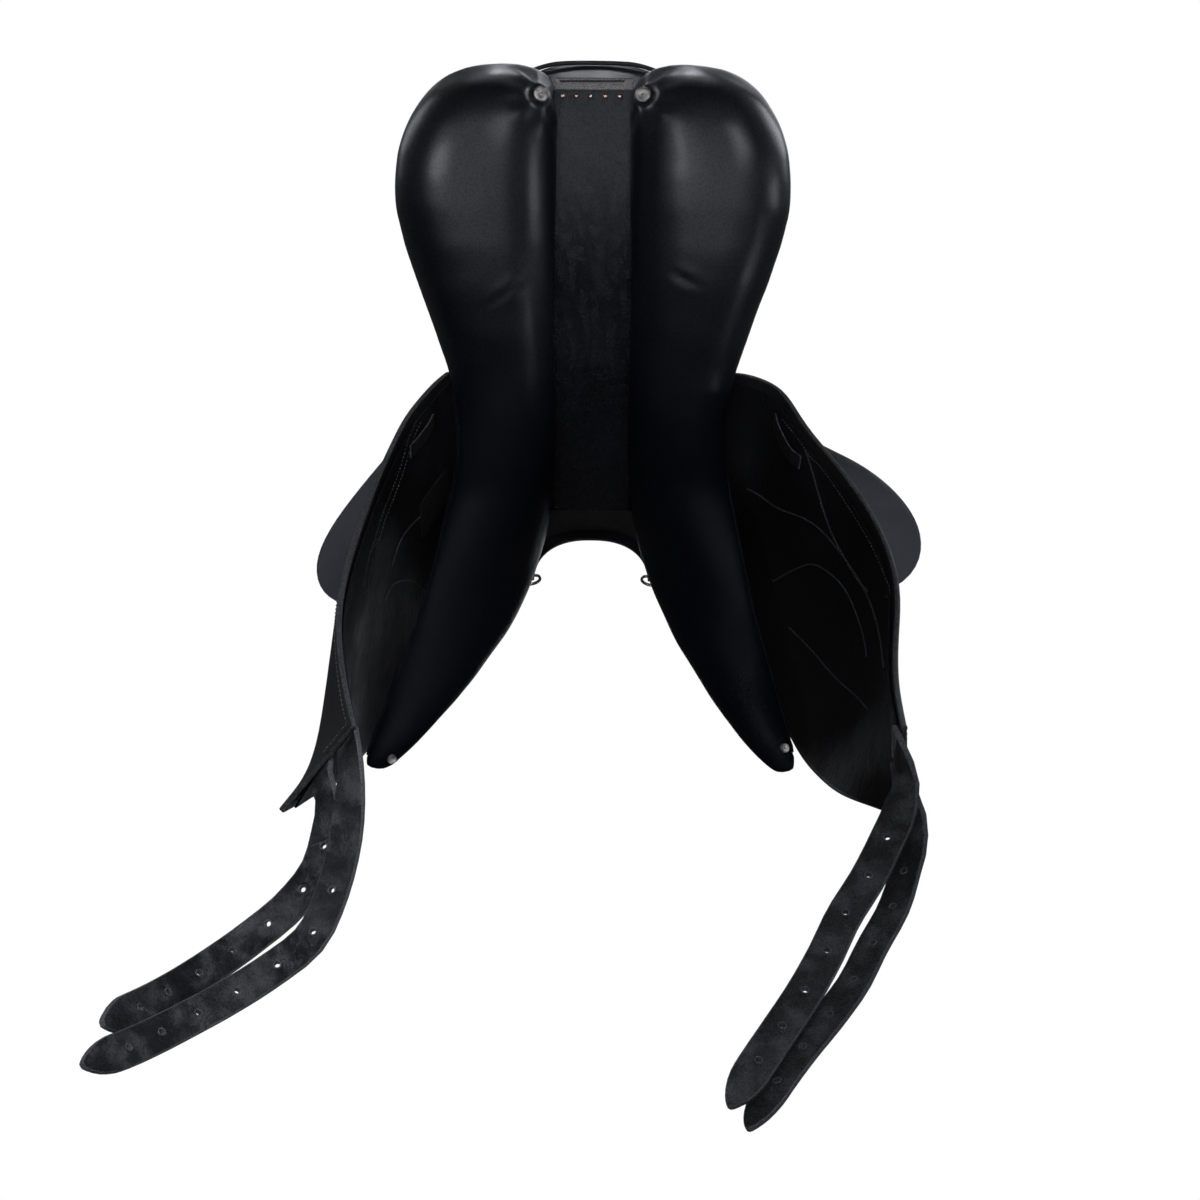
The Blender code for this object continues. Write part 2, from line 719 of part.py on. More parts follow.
for side, word in ((1, "right"), (-1, "left")):
    hinge = np.array([(x, y, seat_top(x, y) + 4.2) for x, y in HINGE])
    grid = []
    for share in np.linspace(0, 1, 12):
        start = along_table(hinge, share)
        end = along_table(EDGE[side], share)
        line = []
        for down in (0, 0.12, 0.3, 0.5, 0.7, 0.88, 1):
            point = start + (end - start) * down
            point = point + (0, 0, 5 * math.sin(math.pi * down))
            line.append(point * (side, 1, 1))
        grid.append(line)
    grid = np.array(grid)
    normal = normals_of(grid)
    if normal[5, 3, 2] < 0:
        normal = -normal
    sheet(f"skirt_{word}", grid, 0, SKIRT_LEATHER, SKIRT_GREY, normal)


# Flaps
def flap_surface(side, t, v):
    """A point of the face that the flap's leather shares with its lining: t to the front, v down."""
    rows = FLAP_ROWS[side]
    last = len(rows) - 1
    at = v * last
    point = []
    for c in range(3):
        rear = profile(*[(k, row[0][c]) for k, row in enumerate(rows)])(at)
        front = profile(*[(k, row[1][c]) for k, row in enumerate(rows)])(at)
        point.append(rear + (front - rear) * t)
    point = np.array(point)
    shelf = max(0.0, 1 - at)
    point[0] += shelf * (seat_half(point[1]) + 5.2 - point[0])
    point[2] -= 8 * 4 * t * (1 - t) * max(0.0, 1 - at / 2)
    point[0] += 5 * math.sin(math.pi * t) * math.sin(math.pi * v) * (1 if side < 0 else 0.4)
    return point * (side, 1, 1)


def flap_grid(side, ts, vs):
    grid = np.array([[flap_surface(side, t, v) for t in ts] for v in vs])
    small = 0.004
    normal = np.zeros_like(grid)
    for i, v in enumerate(vs):
        for j, t in enumerate(ts):
            t0 = min(max(t - small, 0), 1)
            t1 = min(max(t + small, 0), 1)
            v0 = min(max(v - small, 0), 1)
            v1 = min(max(v + small, 0), 1)
            along = flap_surface(side, t1, v) - flap_surface(side, t0, v)
            down = flap_surface(side, t, v1) - flap_surface(side, t, v0)
            outward = np.cross(along, down)
            if outward[0] * side < 0 and i > 1:
                outward = -outward
            if i <= 1 and outward[2] < 0:
                outward = -outward
            normal[i, j] = outward / np.linalg.norm(outward)
    return grid, normal


FLAP_T = np.array([0, 0.04, 0.12, 0.24, 0.36, 0.48, 0.6, 0.72, 0.84, 0.94, 1])
FLAP_V = np.array([0, 0.05, 0.1, 0.15, 0.2, 0.27, 0.36, 0.45, 0.54, 0.63, 0.72, 0.81, 0.9, 0.96, 1])
for side, word in ((1, "right"), (-1, "left")):
    grid, normal = flap_grid(side, FLAP_T, FLAP_V)
    sheet(f"flap_{word}", grid, 0, FLAP_LEATHER, FLAP_BLACK, normal)
    lining_t = np.concatenate([[0.035], FLAP_T[2:-2], [0.965]])
    lining_v = np.concatenate([[0.02], FLAP_V[1:-2], [0.965]])
    grid, normal = flap_grid(side, lining_t, lining_v)
    sheet(f"flap_lining_{word}", grid, -FLAP_LINING - LINING_GAP, -LINING_GAP, LINING_BLACK, normal)
    pad_t = np.linspace(0.66, 0.93, 8)
    pad_v = np.linspace(0.26, 0.62, 10)
    grid, normal = flap_grid(side, pad_t, pad_v)
    u = np.linspace(-1, 1, 8)[None, :]
    w = np.linspace(-1, 1, 10)[:, None]
    rise = (1 - np.abs(u) ** 3.2) * (1 - np.abs(w) ** 4)
    rise = 1.6 + KNEE_PAD_RISE * np.maximum(rise, 0) ** 0.55
    start = FLAP_LEATHER + FIT_GAP
    sheet(f"knee_pad_{word}", grid, start, start + rise, SEAT_BLACK, normal)

patch_grid, patch_normal = flap_grid(-1, np.linspace(0.36, 0.5, 4), np.linspace(0.16, 0.26, 4))
patch_near = -FLAP_LINING - LINING_GAP - 1.0
sheet("hook_patch", patch_grid, patch_near - 2, patch_near, HOOK_PILE, patch_normal)


# Keepers for the girth straps, on the flaps' inner faces near the rear edge
KEEPER_ARCH = (
    (0, 0.0), (0.06, 0.1), (0.16, 0.75), (0.28, 1.0), (0.5, 1.0), (0.72, 1.0), (0.84, 0.75),
    (0.94, 0.1), (1, 0.0),
)
for side, word in ((1, "right"), (-1, "left")):
    keeper_t = np.linspace(0.075, 0.125, 3)
    keeper_v = np.array([0.2 + 0.1 * share for share, _ in KEEPER_ARCH])
    grid, normal = flap_grid(side, keeper_t, keeper_v)
    lift = np.array([KEEPER_RISE * up for _, up in KEEPER_ARCH])[:, None]
    low = -(FLAP_LINING + LINING_GAP + 0.8 + lift)
    sheet(f"strap_keeper_{word}", grid, low - KEEPER_BAND, low, FLAP_BLACK, normal)


# Billets
def smooth_path(points, spacing):
    """Points every few millimetres on a smooth curve through the given ones."""
    points = np.array(points, float)
    far = np.concatenate([[0], np.cumsum(np.linalg.norm(np.diff(points, axis=0), axis=1))])
    tangent = np.gradient(points, far, axis=0)
    count = max(4, int(round(far[-1] / spacing)))
    found = []
    for at in np.linspace(0, far[-1], count + 1):
        i = min(int(np.searchsorted(far, at, side="right")) - 1, len(points) - 2)
        width = far[i + 1] - far[i]
        t = (at - far[i]) / width
        found.append(
            (2 * t**3 - 3 * t**2 + 1) * points[i]
            + (t**3 - 2 * t**2 + t) * width * tangent[i]
            + (3 * t**2 - 2 * t**3) * points[i + 1]
            + (t**3 - t**2) * width * tangent[i + 1]
        )
    return np.array(found)


ROOT_V = 0.982
for name, (side, t, roll, free) in BILLETS.items():
    _, flap_normal = flap_grid(side, [t], [0.9, 0.95, ROOT_V])
    flap_normal = flap_normal[2, 0]
    back = -flap_normal * (ROOT_GAP + BILLET_THICK / 2)
    start = flap_surface(side, t, ROOT_V) + back
    hem = flap_surface(side, t, 1.0)
    second = hem + back + (hem - flap_surface(side, t, 0.98)) * 0.6
    path = smooth_path([start, second, *free], 13.0)
    along = np.gradient(path, axis=0)
    along /= np.linalg.norm(along, axis=1, keepdims=True)
    distance = np.concatenate([[0], np.cumsum(np.linalg.norm(np.diff(path, axis=0), axis=1))])
    length = distance[-1]
    half_width = profile(
        (0, BILLET_WIDTH / 2), (length - 16, BILLET_WIDTH / 2), (length - 6, BILLET_WIDTH / 2 - 3.2),
        (length, BILLET_WIDTH / 2 - 7.5),
    )
    rings = []
    faces_out = []
    last_free = flap_normal
    for k, point in enumerate(path):
        across = np.cross(along[k], VIEW_AXIS)
        across /= np.linalg.norm(across)
        through = np.cross(across, along[k])
        angle = math.radians(roll)
        through = through * math.cos(angle) + across * math.sin(angle)
        if np.dot(through, last_free) < 0:
            through = -through
        last_free = through
        share = min(1.0, distance[k] / 75)
        share = share * share * (3 - 2 * share)
        through = flap_normal * (1 - share) + through * share
        through -= along[k] * np.dot(through, along[k])
        through /= np.linalg.norm(through)
        across = np.cross(along[k], through)
        w = half_width(distance[k])
        h = BILLET_THICK / 2
        soft = 0.9
        corners = (
            (-w, -h + soft), (-w + soft, -h), (w - soft, -h), (w, -h + soft),
            (w, h - soft), (w - soft, h), (-w + soft, h), (-w, h - soft),
        )
        rings.append([point + across * a + through * b for a, b in corners])
        faces_out.append(through)
    billet = loft(name, rings, BILLET_GREY)
    points = []
    faces = []
    for number in range(BILLET_HOLES):
        at = length - 42 - BILLET_PITCH * number
        centre = np.array([np.interp(at, distance, path[:, c]) for c in range(3)])
        through = np.array([np.interp(at, distance, np.array(faces_out)[:, c]) for c in range(3)])
        through, first, second_way = around(through)
        first_index = len(points)
        for depth in (-6, 6):
            for k in range(HOLE_SIDES):
                angle = 2 * math.pi * (k + 0.3) / HOLE_SIDES
                spoke = first * math.cos(angle) + second_way * math.sin(angle)
                points.append(centre + through * depth + spoke * BILLET_HOLE / 2)
        for k in range(HOLE_SIDES):
            a = first_index + k
            b = first_index + (k + 1) % HOLE_SIDES
            faces.append((a, b, b + HOLE_SIDES, a + HOLE_SIDES))
        faces.append(tuple(first_index + k for k in range(HOLE_SIDES))[::-1])
        faces.append(tuple(first_index + HOLE_SIDES + k for k in range(HOLE_SIDES)))
    combine(billet, make(f"{name}_hole_cutter", points, faces, None, cutters))


# Stirrup bars with a hinged catch
WALL = seat_half(120)
plate_in = WALL + FIT_GAP
plate_out = plate_in + BAR_PLATE_THICK
bar_inner = plate_out + BAR_SLOT
bar_outer = bar_inner + BAR_ROD
LUG_OUT = plate_out + 7
LUG_REAR = BAR_REAR - 12
LUG_FRONT = BAR_REAR - 4.5
CATCH_LOW = BAR_LOW - 1
CATCH_HIGH = BAR_HIGH + 1
PIN_X = plate_out + 3.6
PIN_Y = (LUG_REAR + LUG_FRONT) / 2
for side, word in ((1, "right"), (-1, "left")):
    def placed(low, high, side=side):
        ends = sorted((low[0] * side, high[0] * side))
        return (ends[0], low[1], low[2]), (ends[1], high[1], high[2])

    bar = box(
        f"stirrup_bar_{word}",
        *placed((plate_in, LUG_REAR - 1, BAR_LOW - 4.5), (plate_out, BAR_FRONT + 6, BAR_HIGH + 4.5)),
        STEEL,
    )
    extras = {
        "arm": ((plate_out - 1, BAR_FRONT - 6, BAR_LOW), (bar_outer, BAR_FRONT, BAR_HIGH)),
        "rod": ((bar_inner, BAR_REAR, BAR_LOW), (bar_outer, BAR_FRONT - 1, BAR_HIGH)),
        "lug_low": ((plate_out - 1, LUG_REAR, CATCH_LOW - 2.8), (LUG_OUT, LUG_FRONT, CATCH_LOW - 0.3)),
        "lug_high": ((plate_out - 1, LUG_REAR, CATCH_HIGH + 0.3), (LUG_OUT, LUG_FRONT, CATCH_HIGH + 2.8)),
    }
    for piece, (low, high) in extras.items():
        helper = box(f"bar_{piece}_cutter_{word}", *placed(low, high), None, cutters)
        combine(bar, helper, "UNION")
    bore = turned(
        f"pin_bore_cutter_{word}",
        (PIN_X * side, PIN_Y, CATCH_LOW - 5),
        (0, 0, 1),
        ((CATCH_PIN_RADIUS + PIN_GAP, 0), (CATCH_PIN_RADIUS + PIN_GAP, 20)),
        24,
        None,
        cutters,
    )
    combine(bar, bore)
    catch = box(
        f"bar_catch_{word}",
        *placed((PIN_X - 2.6, PIN_Y - 2.2, CATCH_LOW), (bar_outer, PIN_Y + 2.2, CATCH_HIGH)),
        STEEL,
    )
    combine(catch, bore)
    turned(
        f"catch_pin_{word}",
        (PIN_X * side, PIN_Y, CATCH_LOW - 2.8),
        (0, 0, 1),
        ((CATCH_PIN_RADIUS, 0), (CATCH_PIN_RADIUS, CATCH_HIGH - CATCH_LOW + 5.6)),
        24,
        STEEL,
    )
    rivet_outline = ((0.4, 1.6), (1.8, 1.3), (2.6, 0.6), (2.9, 0.0))
    for number, y in enumerate((BAR_REAR + 14, BAR_FRONT - 16), 1):
        turned(
            f"bar_rivet_{word}_{number}",
            ((plate_out + 0.15) * side, y, (BAR_LOW + BAR_HIGH) / 2),
            (side, 0, 0),
            rivet_outline,
            12,
            STEEL,
        )

# Buttons, studs and nails that sit on a soft surface
bpy.context.view_layer.update()
graph = bpy.context.evaluated_depsgraph_get()


def landing(obj, start, direction):
    """Where a straight line meets a piece, and its outward normal there."""
    tree_of = BVHTree.FromObject(obj, graph)
    spot, normal, _, _ = tree_of.ray_cast(Vector(start) * MM, Vector(direction).normalized())
    spot = np.array(spot) / MM
    normal = np.array(normal)
    if np.dot(normal, direction) > 0:
        normal = -normal
    return spot, normal


BUTTON_OUTLINE = ((0.3, 1.5), (2.6, 1.3), (4.4, 2.7), (5.6, 2.8), (BUTTON_RADIUS, 1.9), (BUTTON_RADIUS, 0.0))
STUD_OUTLINE = ((0.3, 2.4), (1.8, 2.2), (3.2, 1.4), (STUD_RADIUS, 0.4), (STUD_RADIUS, 0.0))
for side, word in ((1, "right"), (-1, "left")):
    spot, normal = landing(panels[side], ((40 if side > 0 else 42.5) * side, -243, -4), (0, 0.393, 0.919))
    turned(f"rear_button_{word}", spot + normal * 0.25, normal, BUTTON_OUTLINE, 16, NICKEL)
    stud_from = (158, 214, -226) if side > 0 else (-160, 214, -243)
    spot, normal = landing(panels[side], stud_from, (0, 0.62, 0.78))
    turned(f"front_stud_{word}", spot + normal * 0.25, normal, STUD_OUTLINE, 12, NICKEL)
    cap = bpy.data.objects["pommel_cap"]
    spot, normal = landing(cap, (120 * side, 200, 62), (-side, 0, 0))
    turned(f"pommel_nail_{word}", spot + normal * 0.3, normal, STUD_OUTLINE, 12, NICKEL)

# Dees at the pommel
STAPLE_HALF = 5.0
STAPLE_BORE = DEE_WIRE + 0.5
for side, word in ((1, "right"), (-1, "left")):
    staple = box(
        f"dee_staple_{word}",
        (DEE_X * side - STAPLE_HALF, FACING_FRONT + 0.2, DEE_Z - 3.4),
        (DEE_X * side + STAPLE_HALF, DEE_Y + 3.2, DEE_Z + 3.4),
        SEAT_BLACK,
    )
    hole = turned(
        f"staple_cutter_{word}",
        (DEE_X * side - 20, DEE_Y, DEE_Z),
        (1, 0, 0),
        ((STAPLE_BORE, 0), (STAPLE_BORE, 40)),
        16,
        None,
        cutters,
    )
    combine(staple, hole)
    path = [(DEE_X * side + x, DEE_Y, DEE_Z) for x in (-9, -5, 0, 5, 9)]
    for k in range(1, 12):
        angle = math.pi * k / 12
        path.append((DEE_X * side + 11 * math.cos(angle), DEE_Y, DEE_Z - 2.2 - 12 * math.sin(angle)))
    tube(f"front_dee_{word}", path, DEE_WIRE, 8, NICKEL, joined=True)
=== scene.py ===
# %% [markdown]
# # Dressing a monoflap saddle
# The CAD frame holds the hard parts and a plain solid for every soft one. This notebook puts
# leather, thread and metal on it, as seen from below while the saddle hangs on its rack.

import json
import math

import bmesh
import bpy
import numpy as np
from mathutils import Matrix, Vector, noise
from mathutils.bvhtree import BVHTree
from mathutils.kdtree import KDTree


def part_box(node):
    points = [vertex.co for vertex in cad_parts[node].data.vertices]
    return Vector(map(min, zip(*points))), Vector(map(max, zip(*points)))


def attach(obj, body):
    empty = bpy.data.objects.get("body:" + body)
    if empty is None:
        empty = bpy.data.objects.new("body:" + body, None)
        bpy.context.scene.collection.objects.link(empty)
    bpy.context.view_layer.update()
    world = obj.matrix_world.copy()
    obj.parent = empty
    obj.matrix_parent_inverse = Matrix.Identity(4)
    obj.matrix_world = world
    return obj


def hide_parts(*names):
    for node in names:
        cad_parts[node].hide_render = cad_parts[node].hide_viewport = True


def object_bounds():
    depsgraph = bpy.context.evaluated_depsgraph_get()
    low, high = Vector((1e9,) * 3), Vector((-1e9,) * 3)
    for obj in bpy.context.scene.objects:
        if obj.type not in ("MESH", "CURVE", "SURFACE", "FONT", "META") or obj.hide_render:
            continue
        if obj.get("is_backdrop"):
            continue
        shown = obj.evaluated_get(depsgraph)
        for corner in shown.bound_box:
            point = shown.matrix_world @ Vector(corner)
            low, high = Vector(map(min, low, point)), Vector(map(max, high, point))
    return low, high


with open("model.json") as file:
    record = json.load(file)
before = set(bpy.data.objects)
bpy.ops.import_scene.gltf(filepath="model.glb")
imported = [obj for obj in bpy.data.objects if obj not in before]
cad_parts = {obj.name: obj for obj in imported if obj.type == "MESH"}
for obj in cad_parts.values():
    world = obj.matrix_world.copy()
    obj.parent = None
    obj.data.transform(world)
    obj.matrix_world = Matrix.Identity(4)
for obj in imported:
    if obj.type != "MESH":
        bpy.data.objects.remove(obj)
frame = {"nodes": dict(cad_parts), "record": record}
nodes = frame["nodes"]
record = frame["record"]
body_of = {node: body for body, members in record["behaviour"]["bodies"].items() for node in members}
scene = bpy.context.scene
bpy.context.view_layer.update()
SIDES = {"left": -1, "right": 1}


def linked(name, data):
    """A new object in the scene that holds this mesh, lamp or camera."""
    made = bpy.data.objects.new(name, data)
    scene.collection.objects.link(made)
    return made


# %% [markdown]
# ## Camera
# The photograph was taken from behind and well below, along a line that climbs at 55 degrees.
# A lens of 72 mm on a 36 mm sensor gives the same depth between cantle and pommel. The three
# directions are written out, so that the picture's slight tilt is kept as well.

# %% Camera
PICTURE_SIDE = 1200
LENS_MM = 72.3
SENSOR_MM = 36
CAMERA_AT = Vector((0.0082, -0.9817, -1.7298))
RIGHT = Vector((0.99996, -0.00715, 0.00501))
UP = Vector((-0.00873, -0.81917, 0.57357))
AWAY = Vector((0, 0.57358, 0.81915))

camera_data = bpy.data.cameras.new("studio_camera")
camera_data.sensor_width = SENSOR_MM
camera_data.lens = LENS_MM
camera = linked("studio_camera", camera_data)
camera.matrix_world = Matrix.Translation(CAMERA_AT) @ Matrix((RIGHT, UP, -AWAY)).transposed().to_4x4()
scene.camera = camera


def sight_line(x, y):
    """The direction from the camera through a point of the picture."""
    reach = LENS_MM / SENSOR_MM * PICTURE_SIDE
    half = PICTURE_SIDE / 2
    return (AWAY + RIGHT * ((x - half) / reach) - UP * ((y - half) / reach)).normalized()


print("camera", [round(c, 3) for c in camera.location], "lens", LENS_MM, "mm")

# %% [markdown]
# ## Shader groups
# Leather shows the same few effects everywhere: pebbled grain, fine wrinkles, dulled patches.
# Each is a node group that gives masks and heights. The shader itself stays in each material.


# %% Group helper
def new_group(name, inputs, outputs):
    """An empty shader group with named float inputs and outputs."""
    group = bpy.data.node_groups.new(name, "ShaderNodeTree")
    for label, value in inputs.items():
        socket = group.interface.new_socket(label, in_out="INPUT", socket_type="NodeSocketFloat")
        socket.default_value = value
    for label in outputs:
        group.interface.new_socket(label, in_out="OUTPUT", socket_type="NodeSocketFloat")
    start = group.nodes.new("NodeGroupInput")
    end = group.nodes.new("NodeGroupOutput")
    return Wiring(group), start.outputs, end.inputs


class Wiring:
    """Short words for adding nodes and joining them."""

    def __init__(self, tree):
        self.tree = tree

    def join(self, source, target):
        self.tree.links.new(source, target)

    def feed(self, socket, value):
        if isinstance(value, bpy.types.NodeSocket):
            self.join(value, socket)
        else:
            socket.default_value = value

    def add(self, kind, **inputs):
        node = self.tree.nodes.new("ShaderNode" + kind)
        for label, value in inputs.items():
            self.feed(node.inputs[label], value)
        return node

    def places(self, squash=(1, 1, 1)):
        """Object coordinates, stretched by a Mapping node where a pattern runs one way."""
        at = self.add("TexCoord").outputs["Object"]
        if squash == (1, 1, 1):
            return at
        return self.add("Mapping", Vector=at, Scale=squash).outputs["Vector"]

    def along(self, axis):
        """One of the object coordinates."""
        return self.add("SeparateXYZ", Vector=self.places()).outputs[axis]

    def noise(self, at, scale, detail=4.0, roughness=0.5):
        node = self.add("TexNoise", Vector=at, Scale=scale, Detail=detail, Roughness=roughness)
        return node.outputs["Fac"]

    def cells(self, at, scale):
        return self.add("TexVoronoi", Vector=at, Scale=scale).outputs["Distance"]

    def math(self, operation, a, b=0.5, clamp=False):
        node = self.add("Math")
        node.operation = operation
        node.use_clamp = clamp
        self.feed(node.inputs[0], a)
        self.feed(node.inputs[1], b)
        return node.outputs[0]

    def ranged(self, value, low, high, to_low=0.0, to_high=1.0):
        ends = {"From Min": low, "From Max": high, "To Min": to_low, "To Max": to_high}
        node = self.add("MapRange", Value=value, **ends)
        node.interpolation_type = "SMOOTHSTEP"
        return node.outputs["Result"]

    def mixed(self, mask, dark, worn):
        mix = self.add("Mix")
        mix.data_type = "RGBA"
        for label, value in {"Factor": mask, "A": (*dark, 1), "B": (*worn, 1)}.items():
            self.feed(mix.inputs[label], value)
        return mix.outputs["Result"]


# %% Grain of leather
def build_grain():
    wire, takes, gives = new_group(
        "leather_grain",
        {"Pebbles per metre": 700.0, "Wrinkles per metre": 60.0, "Wrinkle depth": 0.4},
        ("Height", "Valleys"),
    )
    at = wire.places()
    pebbles = wire.cells(at, takes["Pebbles per metre"])
    pores = wire.noise(at, takes["Pebbles per metre"], 2.0)
    bends = wire.noise(wire.places((1.0, 0.4, 0.8)), takes["Wrinkles per metre"], 6.0, 0.62)
    ridges = wire.math("ABSOLUTE", wire.math("SUBTRACT", bends, 0.5))
    folds = wire.math("MULTIPLY", wire.ranged(ridges, 0.0, 0.06), takes["Wrinkle depth"])
    fine = wire.math("ADD", wire.math("MULTIPLY", pebbles, -0.5), wire.math("MULTIPLY", pores, 0.4))
    wire.join(wire.math("ADD", fine, folds), gives["Height"])
    wire.join(wire.ranged(pebbles, 0.35, 0.75), gives["Valleys"])
    return wire.tree


# %% Handling marks
def build_handling():
    wire, takes, gives = new_group(
        "handling_marks", {"Patches per metre": 9.0, "Scuffs per metre": 120.0}, ("Patches", "Scuffs")
    )
    broad = wire.noise(wire.places(), takes["Patches per metre"], 5.0, 0.55)
    wire.join(wire.ranged(broad, 0.38, 0.68), gives["Patches"])
    streaks = wire.noise(wire.places((1.0, 0.35, 1.6)), takes["Scuffs per metre"], 7.0, 0.7)
    wire.join(wire.ranged(streaks, 0.56, 0.74), gives["Scuffs"])
    return wire.tree


# %% Cut fibres
def build_fibres():
    wire, takes, gives = new_group("cut_fibres", {"Fibres per metre": 1500.0}, ("Height", "Lint"))
    at = wire.places()
    fibres = wire.noise(at, takes["Fibres per metre"], 8.0, 0.75)
    tufts = wire.cells(at, wire.math("MULTIPLY", takes["Fibres per metre"], 0.4))
    wire.join(wire.math("ADD", fibres, wire.math("MULTIPLY", tufts, 0.6)), gives["Height"])
    wire.join(wire.ranged(fibres, 0.42, 0.66), gives["Lint"])
    return wire.tree


GRAIN = build_grain()
HANDLING = build_handling()
FIBRES = build_fibres()
print("shader groups:", GRAIN.name, HANDLING.name, FIBRES.name)

# %% [markdown]
# ## Finishes
# The leather is near black with a cool sheen. Smooth panel hide shines broadly, the skirts are
# waxed and flatter, and the straps show pale cut fibre on their edges. Each finish is mixed
# from a dark and a worn colour by the handling marks, with the grain as bump. On the straps,
# the pale worn colour is wear and also painted sheen.


# %% Material helpers
def new_finish(name, colour, roughness, metallic=0.0, specular=0.5, coat=0.0, coat_roughness=0.2):
    look = bpy.data.materials.new(name)
    look.use_nodes = True
    inputs = look.node_tree.nodes["Principled BSDF"].inputs
    values = {
        "Base Color": (*colour, 1), "Roughness": roughness, "Metallic": metallic,
        "Specular IOR Level": specular, "Coat Weight": coat, "Coat Roughness": coat_roughness,
    }
    for label, value in values.items():
        inputs[label].default_value = value
    return look, inputs, Wiring(look.node_tree)


def placed_group(wire, group, values):
    node = wire.add("Group")
    node.node_tree = group
    for label, value in values.items():
        node.inputs[label].default_value = value
    return node


def bumped(wire, inputs, height, distance):
    bump = wire.add("Bump", Height=height, Distance=distance)
    wire.join(bump.outputs["Normal"], inputs["Normal"])


PATCH_SHARE = 0.75
SCUFF_SHARE = 0.35


def leather(
    name, dark, worn, gloss, pebbles, wrinkles, fold, depth, relief=0.3, polished_to=None, marked=None, **more
):
    """Smooth or pebbled hide: gloss is the roughness where it is clean and where it is dulled.
    polished_to gives two places along the saddle, between which its polish fades out. relief is
    how much darker and duller the valleys between pebbles are."""
    look, inputs, wire = new_finish(name, dark, gloss[0], **more)
    marks = placed_group(wire, HANDLING, marked or {})
    sizes = {"Pebbles per metre": pebbles, "Wrinkles per metre": wrinkles, "Wrinkle depth": fold}
    grain = placed_group(wire, GRAIN, sizes)
    scuffed = wire.math("MULTIPLY", marks.outputs["Scuffs"], SCUFF_SHARE)
    # On the straps, the pale colour that this mask brings in is wear and also painted sheen.
    worn_mask = wire.math("ADD", wire.math("MULTIPLY", marks.outputs["Patches"], PATCH_SHARE), scuffed)
    valleys = wire.math("MULTIPLY", grain.outputs["Valleys"], relief)
    worn_mask = wire.math("SUBTRACT", worn_mask, valleys, clamp=True)
    wire.join(wire.mixed(worn_mask, dark, worn), inputs["Base Color"])
    dulled = wire.math("ADD", marks.outputs["Patches"], marks.outputs["Scuffs"], clamp=True)
    wire.join(wire.ranged(dulled, 0.0, 1.0, *gloss), inputs["Roughness"])
    if polished_to:
        polish = wire.ranged(wire.along("Y"), *polished_to, more["coat"], 0.0)
        raised = wire.math("SUBTRACT", 1.0, valleys)
        wire.join(wire.math("MULTIPLY", polish, raised), inputs["Coat Weight"])
    bumped(wire, inputs, grain.outputs["Height"], depth)
    return look


def fibre_edge(name, dark, lint, roughness, fibres, depth):
    """A cut or sanded edge, where the hide's fibres show."""
    look, inputs, wire = new_finish(name, dark, roughness, specular=0.25)
    cut = placed_group(wire, FIBRES, {"Fibres per metre": fibres})
    wire.join(wire.mixed(cut.outputs["Lint"], dark, lint), inputs["Base Color"])
    bumped(wire, inputs, cut.outputs["Height"], depth)
    return look


def metal(name, clean, aged, gloss, streaks=900.0, squash=(1, 1, 1)):
    """Polished or brushed metal with dull patches."""
    look, inputs, wire = new_finish(name, clean, gloss[0], metallic=1.0)
    marks = placed_group(wire, HANDLING, {"Patches per metre": 160.0, "Scuffs per metre": 700.0})
    wire.join(wire.mixed(marks.outputs["Patches"], clean, aged), inputs["Base Color"])
    wire.join(wire.ranged(marks.outputs["Scuffs"], 0.0, 1.0, *gloss), inputs["Roughness"])
    bumped(wire, inputs, wire.noise(wire.places(squash), streaks, 3.0), 0.00004)
    return look


# %% Leather finishes
PANEL_HIDE = leather(
    "panel_hide", (0.0032, 0.0036, 0.0058), (0.006, 0.0066, 0.0095), (0.5, 0.66), 620, 38, 0.3, 0.00032,
    relief=0.22, polished_to=(-0.1, 0.1), specular=0.08, coat=1.0, coat_roughness=0.35,
)
SEAT_HIDE = leather(
    "seat_hide", (0.009, 0.009, 0.0105), (0.018, 0.018, 0.02), (0.42, 0.56), 800, 46, 0.3, 0.00016,
    specular=0.45, coat=0.08, coat_roughness=0.35,
)
STRIP_HIDE = leather(
    "gullet_hide", (0.005, 0.0054, 0.0075), (0.011, 0.012, 0.016), (0.46, 0.6), 560, 90, 0.6, 0.0018,
    polished_to=(-0.22, -0.06), specular=0.25, coat=1.0, coat_roughness=0.36,
)
SKIRT_HIDE = leather(
    "skirt_hide", (0.088, 0.09, 0.102), (0.118, 0.121, 0.136), (0.62, 0.72), 900, 40, 0.2, 0.00012,
    specular=0.3,
)
FLAP_HIDE = leather(
    "flap_hide", (0.009, 0.009, 0.0095), (0.018, 0.0175, 0.017), (0.5, 0.64), 850, 34, 0.3, 0.0003,
    specular=0.17,
)
LINING_HIDE = leather(
    "flap_lining_hide", (0.0045, 0.0046, 0.0054), (0.0115, 0.0115, 0.013), (0.62, 0.82), 560, 70, 0.8,
    0.0003, specular=0.14,
)
ARCH_HIDE = leather(
    "arch_hide", (0.012, 0.0118, 0.01), (0.024, 0.0235, 0.02), (0.5, 0.68), 480, 110, 1.0, 0.0004,
    specular=0.35,
)
# Strap hide: its pale patches are wear and also painted sheen, which stands in for the straps' mottled
# highlights.
STRAP_HIDE_WEAR_AND_SHEEN = leather(
    "strap_wear_and_sheen_hide", (0.004, 0.0042, 0.0052), (0.085, 0.085, 0.088), (0.42, 0.75), 900, 150, 0.7, 0.0009,
    marked={"Patches per metre": 60.0, "Scuffs per metre": 420.0}, specular=0.34,
)
print("leather finishes:", len([m for m in bpy.data.materials if m.name.endswith("hide")]))

